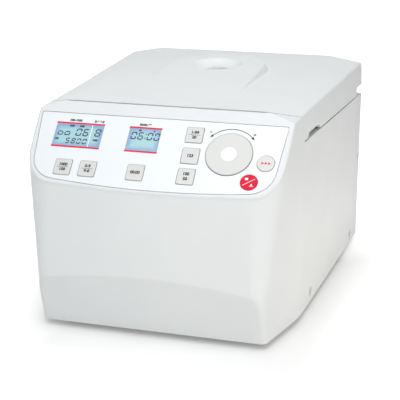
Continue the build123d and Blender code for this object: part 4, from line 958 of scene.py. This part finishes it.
class CENTRIFUGE_OT_add_screws(bpy.types.Operator):
    """Model the small screws of the lid, hinges, deck, floor and back."""

    bl_idname = "centrifuge.add_screws"
    bl_label = "Small screws"

    def execute(self, context):
        sides = (-1, 1)
        angles = [radians(22.5 + 45 * turn) for turn in range(8)]
        reach, below_lid = 0.1, 0.1
        ring = [(reach * cos(angle), ROTOR_Y + reach * sin(angle), below_lid) for angle in angles]
        screw_set("lid_plate_screws", "lid", "lid_plate", ring, UP, BACKWARD)

        hinge_y = joint_named("lid_hinge")["pos_m"][1]
        over_hinges, shifts = 0.19, (-9.5 * MM, 11 * MM)
        feet = [(side * 80 * MM, hinge_y + shift, over_hinges) for side in sides for shift in shifts]
        screw_set("hinge_screws", "base", "hinge_brackets", feet, DOWN, BACKWARD)

        over_deck, spots = 0.1785, ((104, -52), (118, 148))
        deck = [(side * x * MM, y * MM, over_deck) for side in sides for x, y in spots]
        screw_set("deck_screws", "base", "housing", deck, DOWN, BACKWARD, share=0.9)

        back = [(x * MM, BEHIND, z * MM) for z in (23, 87) for x in (-98, 0, 98)]
        screw_set("back_screws", "base", "rear_panel", back, FORWARD)

        fan_x, _, fan_z = joint_named("fan_spin")["pos_m"]
        half = 25 * MM
        corners = [(fan_x + across * half, BEHIND, fan_z + up * half) for across in sides for up in sides]
        screw_set("fan_screws", "base", "rear_panel", corners, FORWARD, share=0.8)

        inlet_x, inlet_z, half = 48, 44, 20
        inlet = [((inlet_x + side * half) * MM, BEHIND, inlet_z * MM) for side in sides]
        screw_set("inlet_screws", "base", "power_inlet", inlet, FORWARD, share=0.55)

        rim = [(side * 66 * MM, y * MM, UNDERNEATH) for side in sides for y in (-150, 0, 165)]
        screw_set("floor_screws", "base", "floor_plate", rim, UP, BACKWARD, share=0.9)
        return {"FINISHED"}


class CENTRIFUGE_OT_mark_rocker(bpy.types.Operator):
    """Model the on and off signs of the mains rocker."""

    bl_idname = "centrifuge.mark_rocker"
    bl_label = "Rocker signs"

    def execute(self, context):
        rocker_x, _, rocker_z = joint_named("rocker_tilt")["pos_m"]
        signs = []
        for text, rise in (("I", 6.2 * MM), ("0", -6.2 * MM)):
            place, outward = spot_on("rocker", (rocker_x, BEHIND, rocker_z + rise), FORWARD)
            sign = lettering(text, 4.2 * MM, sizes().print_height)
            sign.matrix_world = facing(place, outward)
            signs.append(sign)
        finish_piece(signs, "rocker_signs", "mains_rocker", ink("rocker_ink", (0.86, 0.87, 0.88)))
        return {"FINISHED"}


class CENTRIFUGE_OT_number_rotor(bpy.types.Operator):
    """Model the place numbers beside the rotor's eight tube holes."""

    bl_idname = "centrifuge.number_rotor"
    bl_label = "Rotor numbers"

    def execute(self, context):
        above = Vector((0, ROTOR_Y, 0.16))
        reach = 30 * MM
        numbers = []
        for turn in range(8):
            angle = radians(45 * turn)
            heading = Vector((cos(angle), sin(angle), 0))
            place, outward = spot_on("rotor", above + heading * reach, DOWN)
            number = lettering(str(turn + 1), 3.6 * MM, 0.2 * MM)
            number.matrix_world = facing(place, outward, heading)
            numbers.append(number)
        finish_piece(numbers, "rotor_numbers", "spinning_rotor", ink("rotor_ink", (0.72, 0.73, 0.75)))
        return {"FINISHED"}


# ---- Stage -------------------------------------------------------------------
CAMERA_PLACE = (0.27690, -1.01275, 0.38285)
CAMERA_TURN = (74.1739, -0.6233, 15.6174)  # degrees
CAMERA_LENS = 92.43                        # millimetres, for a sensor 36 wide


def lit_floor():
    """Pale floor that takes soft shadows, with a glow to the camera, gloss and glass that reads white away
    from the object and is weaker round it, painting shade there.
    """
    material, tree, place = blank_finish("floor_paper_and_painted_shade")
    tone = spread(tree, noise(tree, place, size=0.3), 0, 1)
    paper = put(tree, "ShaderNodeBsdfDiffuse", {
        "Color": blend_colour(tree, tone, (0.74, 0.74, 0.74, 1), (0.76, 0.76, 0.76, 1)),
    })
    # painted shade and light: the glow is weakest round the object's footprint, moved a little to the right
    # and to the front, so the floor shows shade there and less at the left and back; it rises to full
    # strength 0.2 m beyond
    x, y, _ = split_axes(tree, place)
    beside = distance_beyond(tree, x, 0.03, CAD_BOX[1][0] - 0.03)
    beyond = distance_beyond(tree, y, -0.06, CAD_BOX[1][1] - 0.04)
    far = spread(tree, reach_of(tree, beside, beyond), 0.19, 1.0, start=0.0, end=0.2)
    glow = put(tree, "ShaderNodeEmission", {"Strength": maths(tree, "MULTIPLY", seen_directly(tree), far)})
    both = put(tree, "ShaderNodeAddShader", {0: paper.outputs[0], 1: glow.outputs[0]})
    put(tree, "ShaderNodeOutputMaterial", {"Surface": both.outputs[0]})
    return material


def soft_lamp(name, place, aim, size, power, colour=(1, 1, 1), gloss=True):
    """A soft lamp of a width and a height, pointed at a place. Without gloss, nothing mirrors it."""
    bpy.ops.object.light_add(type="AREA", location=place)
    lamp = bpy.context.object
    lamp.name = name
    lamp.data.shape = "RECTANGLE"
    lamp.data.size, lamp.data.size_y = size
    lamp.data.color = colour
    lamp.data.energy = power
    lamp.visible_camera = False
    lamp.visible_glossy = gloss
    lamp.rotation_euler = (Vector(aim) - Vector(place)).to_track_quat("-Z", "Y").to_euler()


class CENTRIFUGE_OT_set_stage(bpy.types.Operator):
    """Set the floor, the sky, the soft lamps and the camera."""

    bl_idname = "centrifuge.set_stage"
    bl_label = "Stage"

    def execute(self, context):
        self.lay_floor()
        self.light_sky()
        soft_lamp("lamp_above", place=(0.1, -0.3, 1.6), aim=(0, 0, 0.15), size=(1.0, 1.0), power=10.6)
        soft_lamp("lamp_front", place=(0.1, -1.1, 1.4), aim=(0, 0, 0.15), size=(1.0, 1.0), power=6.0,
                  colour=(0.93, 0.98, 1.0))
        soft_lamp("lamp_corner", place=(0.58, -1.2, 0.64), aim=(0, 0, 0.12), size=(0.6, 0.6), power=6.4,
                  colour=(1.0, 0.985, 0.95))
        soft_lamp("lamp_left", place=(-1.4, -0.1, 0.16), aim=(-0.14, 0, 0.12), size=(1.2, 0.25), power=3,
                  colour=(0.97, 0.99, 1.0))
        soft_lamp("lamp_back", place=(-0.5, 1.3, 0.16), aim=(0, 0.2, 0.12), size=(0.8, 0.25), power=5,
                  gloss=False)
        soft_lamp("lamp_low", place=(0.31, -0.05, 0.03), aim=(0.14, -0.05, 0), size=(0.5, 0.05), power=0.15,
                  colour=(1.0, 0.94, 0.82))
        self.place_camera()
        context.scene.view_settings.view_transform = "Standard"
        return {"FINISHED"}

    def lay_floor(self):
        """A wide floor, just under the feet."""
        below_feet = -0.2 * MM
        clear_selection()
        bpy.ops.mesh.primitive_plane_add(size=14, location=(0, 2, below_feet))
        floor = bpy.context.object
        floor.name = "stage_floor"
        bpy.ops.object.transform_apply(location=True, rotation=False, scale=False)
        floor.data.materials.append(lit_floor())

    def light_sky(self):
        """A white sky that lights the object only weakly."""
        world = bpy.data.worlds.new("studio")
        world.use_nodes = True
        bpy.context.scene.world = world
        tree = world.node_tree
        tree.nodes.clear()
        strength = spread(tree, seen_directly(tree), sizes().sky, 1.0, start=0.0, end=1.0)
        sky = put(tree, "ShaderNodeBackground", {"Color": (1, 1, 1, 1), "Strength": strength})
        put(tree, "ShaderNodeOutputWorld", {"Surface": sky.outputs[0]})

    def place_camera(self):
        """The camera that sees the front, the right side and the roof."""
        turn = [radians(angle) for angle in CAMERA_TURN]
        bpy.ops.object.camera_add(location=CAMERA_PLACE, rotation=turn)
        camera = bpy.context.object
        camera.data.sensor_width = 36
        camera.data.lens = CAMERA_LENS
        bpy.context.scene.camera = camera


# ---- Add-on ------------------------------------------------------------------
STEPS = (
    CENTRIFUGE_OT_finish_case,
    CENTRIFUGE_OT_finish_panel,
    CENTRIFUGE_OT_finish_works,
    CENTRIFUGE_OT_line_openings,
    CENTRIFUGE_OT_print_displays,
    CENTRIFUGE_OT_print_dial,
    CENTRIFUGE_OT_print_keys,
    CENTRIFUGE_OT_add_screws,
    CENTRIFUGE_OT_mark_rocker,
    CENTRIFUGE_OT_number_rotor,
    CENTRIFUGE_OT_set_stage,
)


class CENTRIFUGE_PT_steps(bpy.types.Panel):
    """Sizes, colours and steps of the bench centrifuge."""

    bl_idname = "CENTRIFUGE_PT_steps"
    bl_label = "Bench Centrifuge"
    bl_space_type = "VIEW_3D"
    bl_region_type = "UI"
    bl_category = "Centrifuge"

    def draw(self, context):
        layout = self.layout
        for group in (context.scene.centrifuge_sizes, context.scene.centrifuge_colours):
            box = layout.box()
            for name in group.__annotations__:
                box.prop(group, name)
        for step in STEPS:
            layout.operator(step.bl_idname)


CLASSES = (CentrifugeColours, CentrifugeSizes, *STEPS, CENTRIFUGE_PT_steps)


def register():
    """Register the classes, and give the scene the colours and the sizes."""
    for item in CLASSES:
        bpy.utils.register_class(item)
    bpy.types.Scene.centrifuge_colours = bpy.props.PointerProperty(type=CentrifugeColours)
    bpy.types.Scene.centrifuge_sizes = bpy.props.PointerProperty(type=CentrifugeSizes)


def unregister():
    """Take back all that register gave."""
    del bpy.types.Scene.centrifuge_sizes
    del bpy.types.Scene.centrifuge_colours
    for item in reversed(CLASSES):
        bpy.utils.unregister_class(item)


def main():
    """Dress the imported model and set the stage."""
    register()
    steps = bpy.ops.centrifuge
    steps.finish_case()
    steps.finish_panel()
    steps.finish_works()
    steps.line_openings()
    steps.print_displays()
    steps.print_dial()
    steps.print_keys()
    steps.add_screws()
    steps.mark_rocker()
    steps.number_rotor()
    steps.set_stage()


if __name__ == "__main__":
    main()
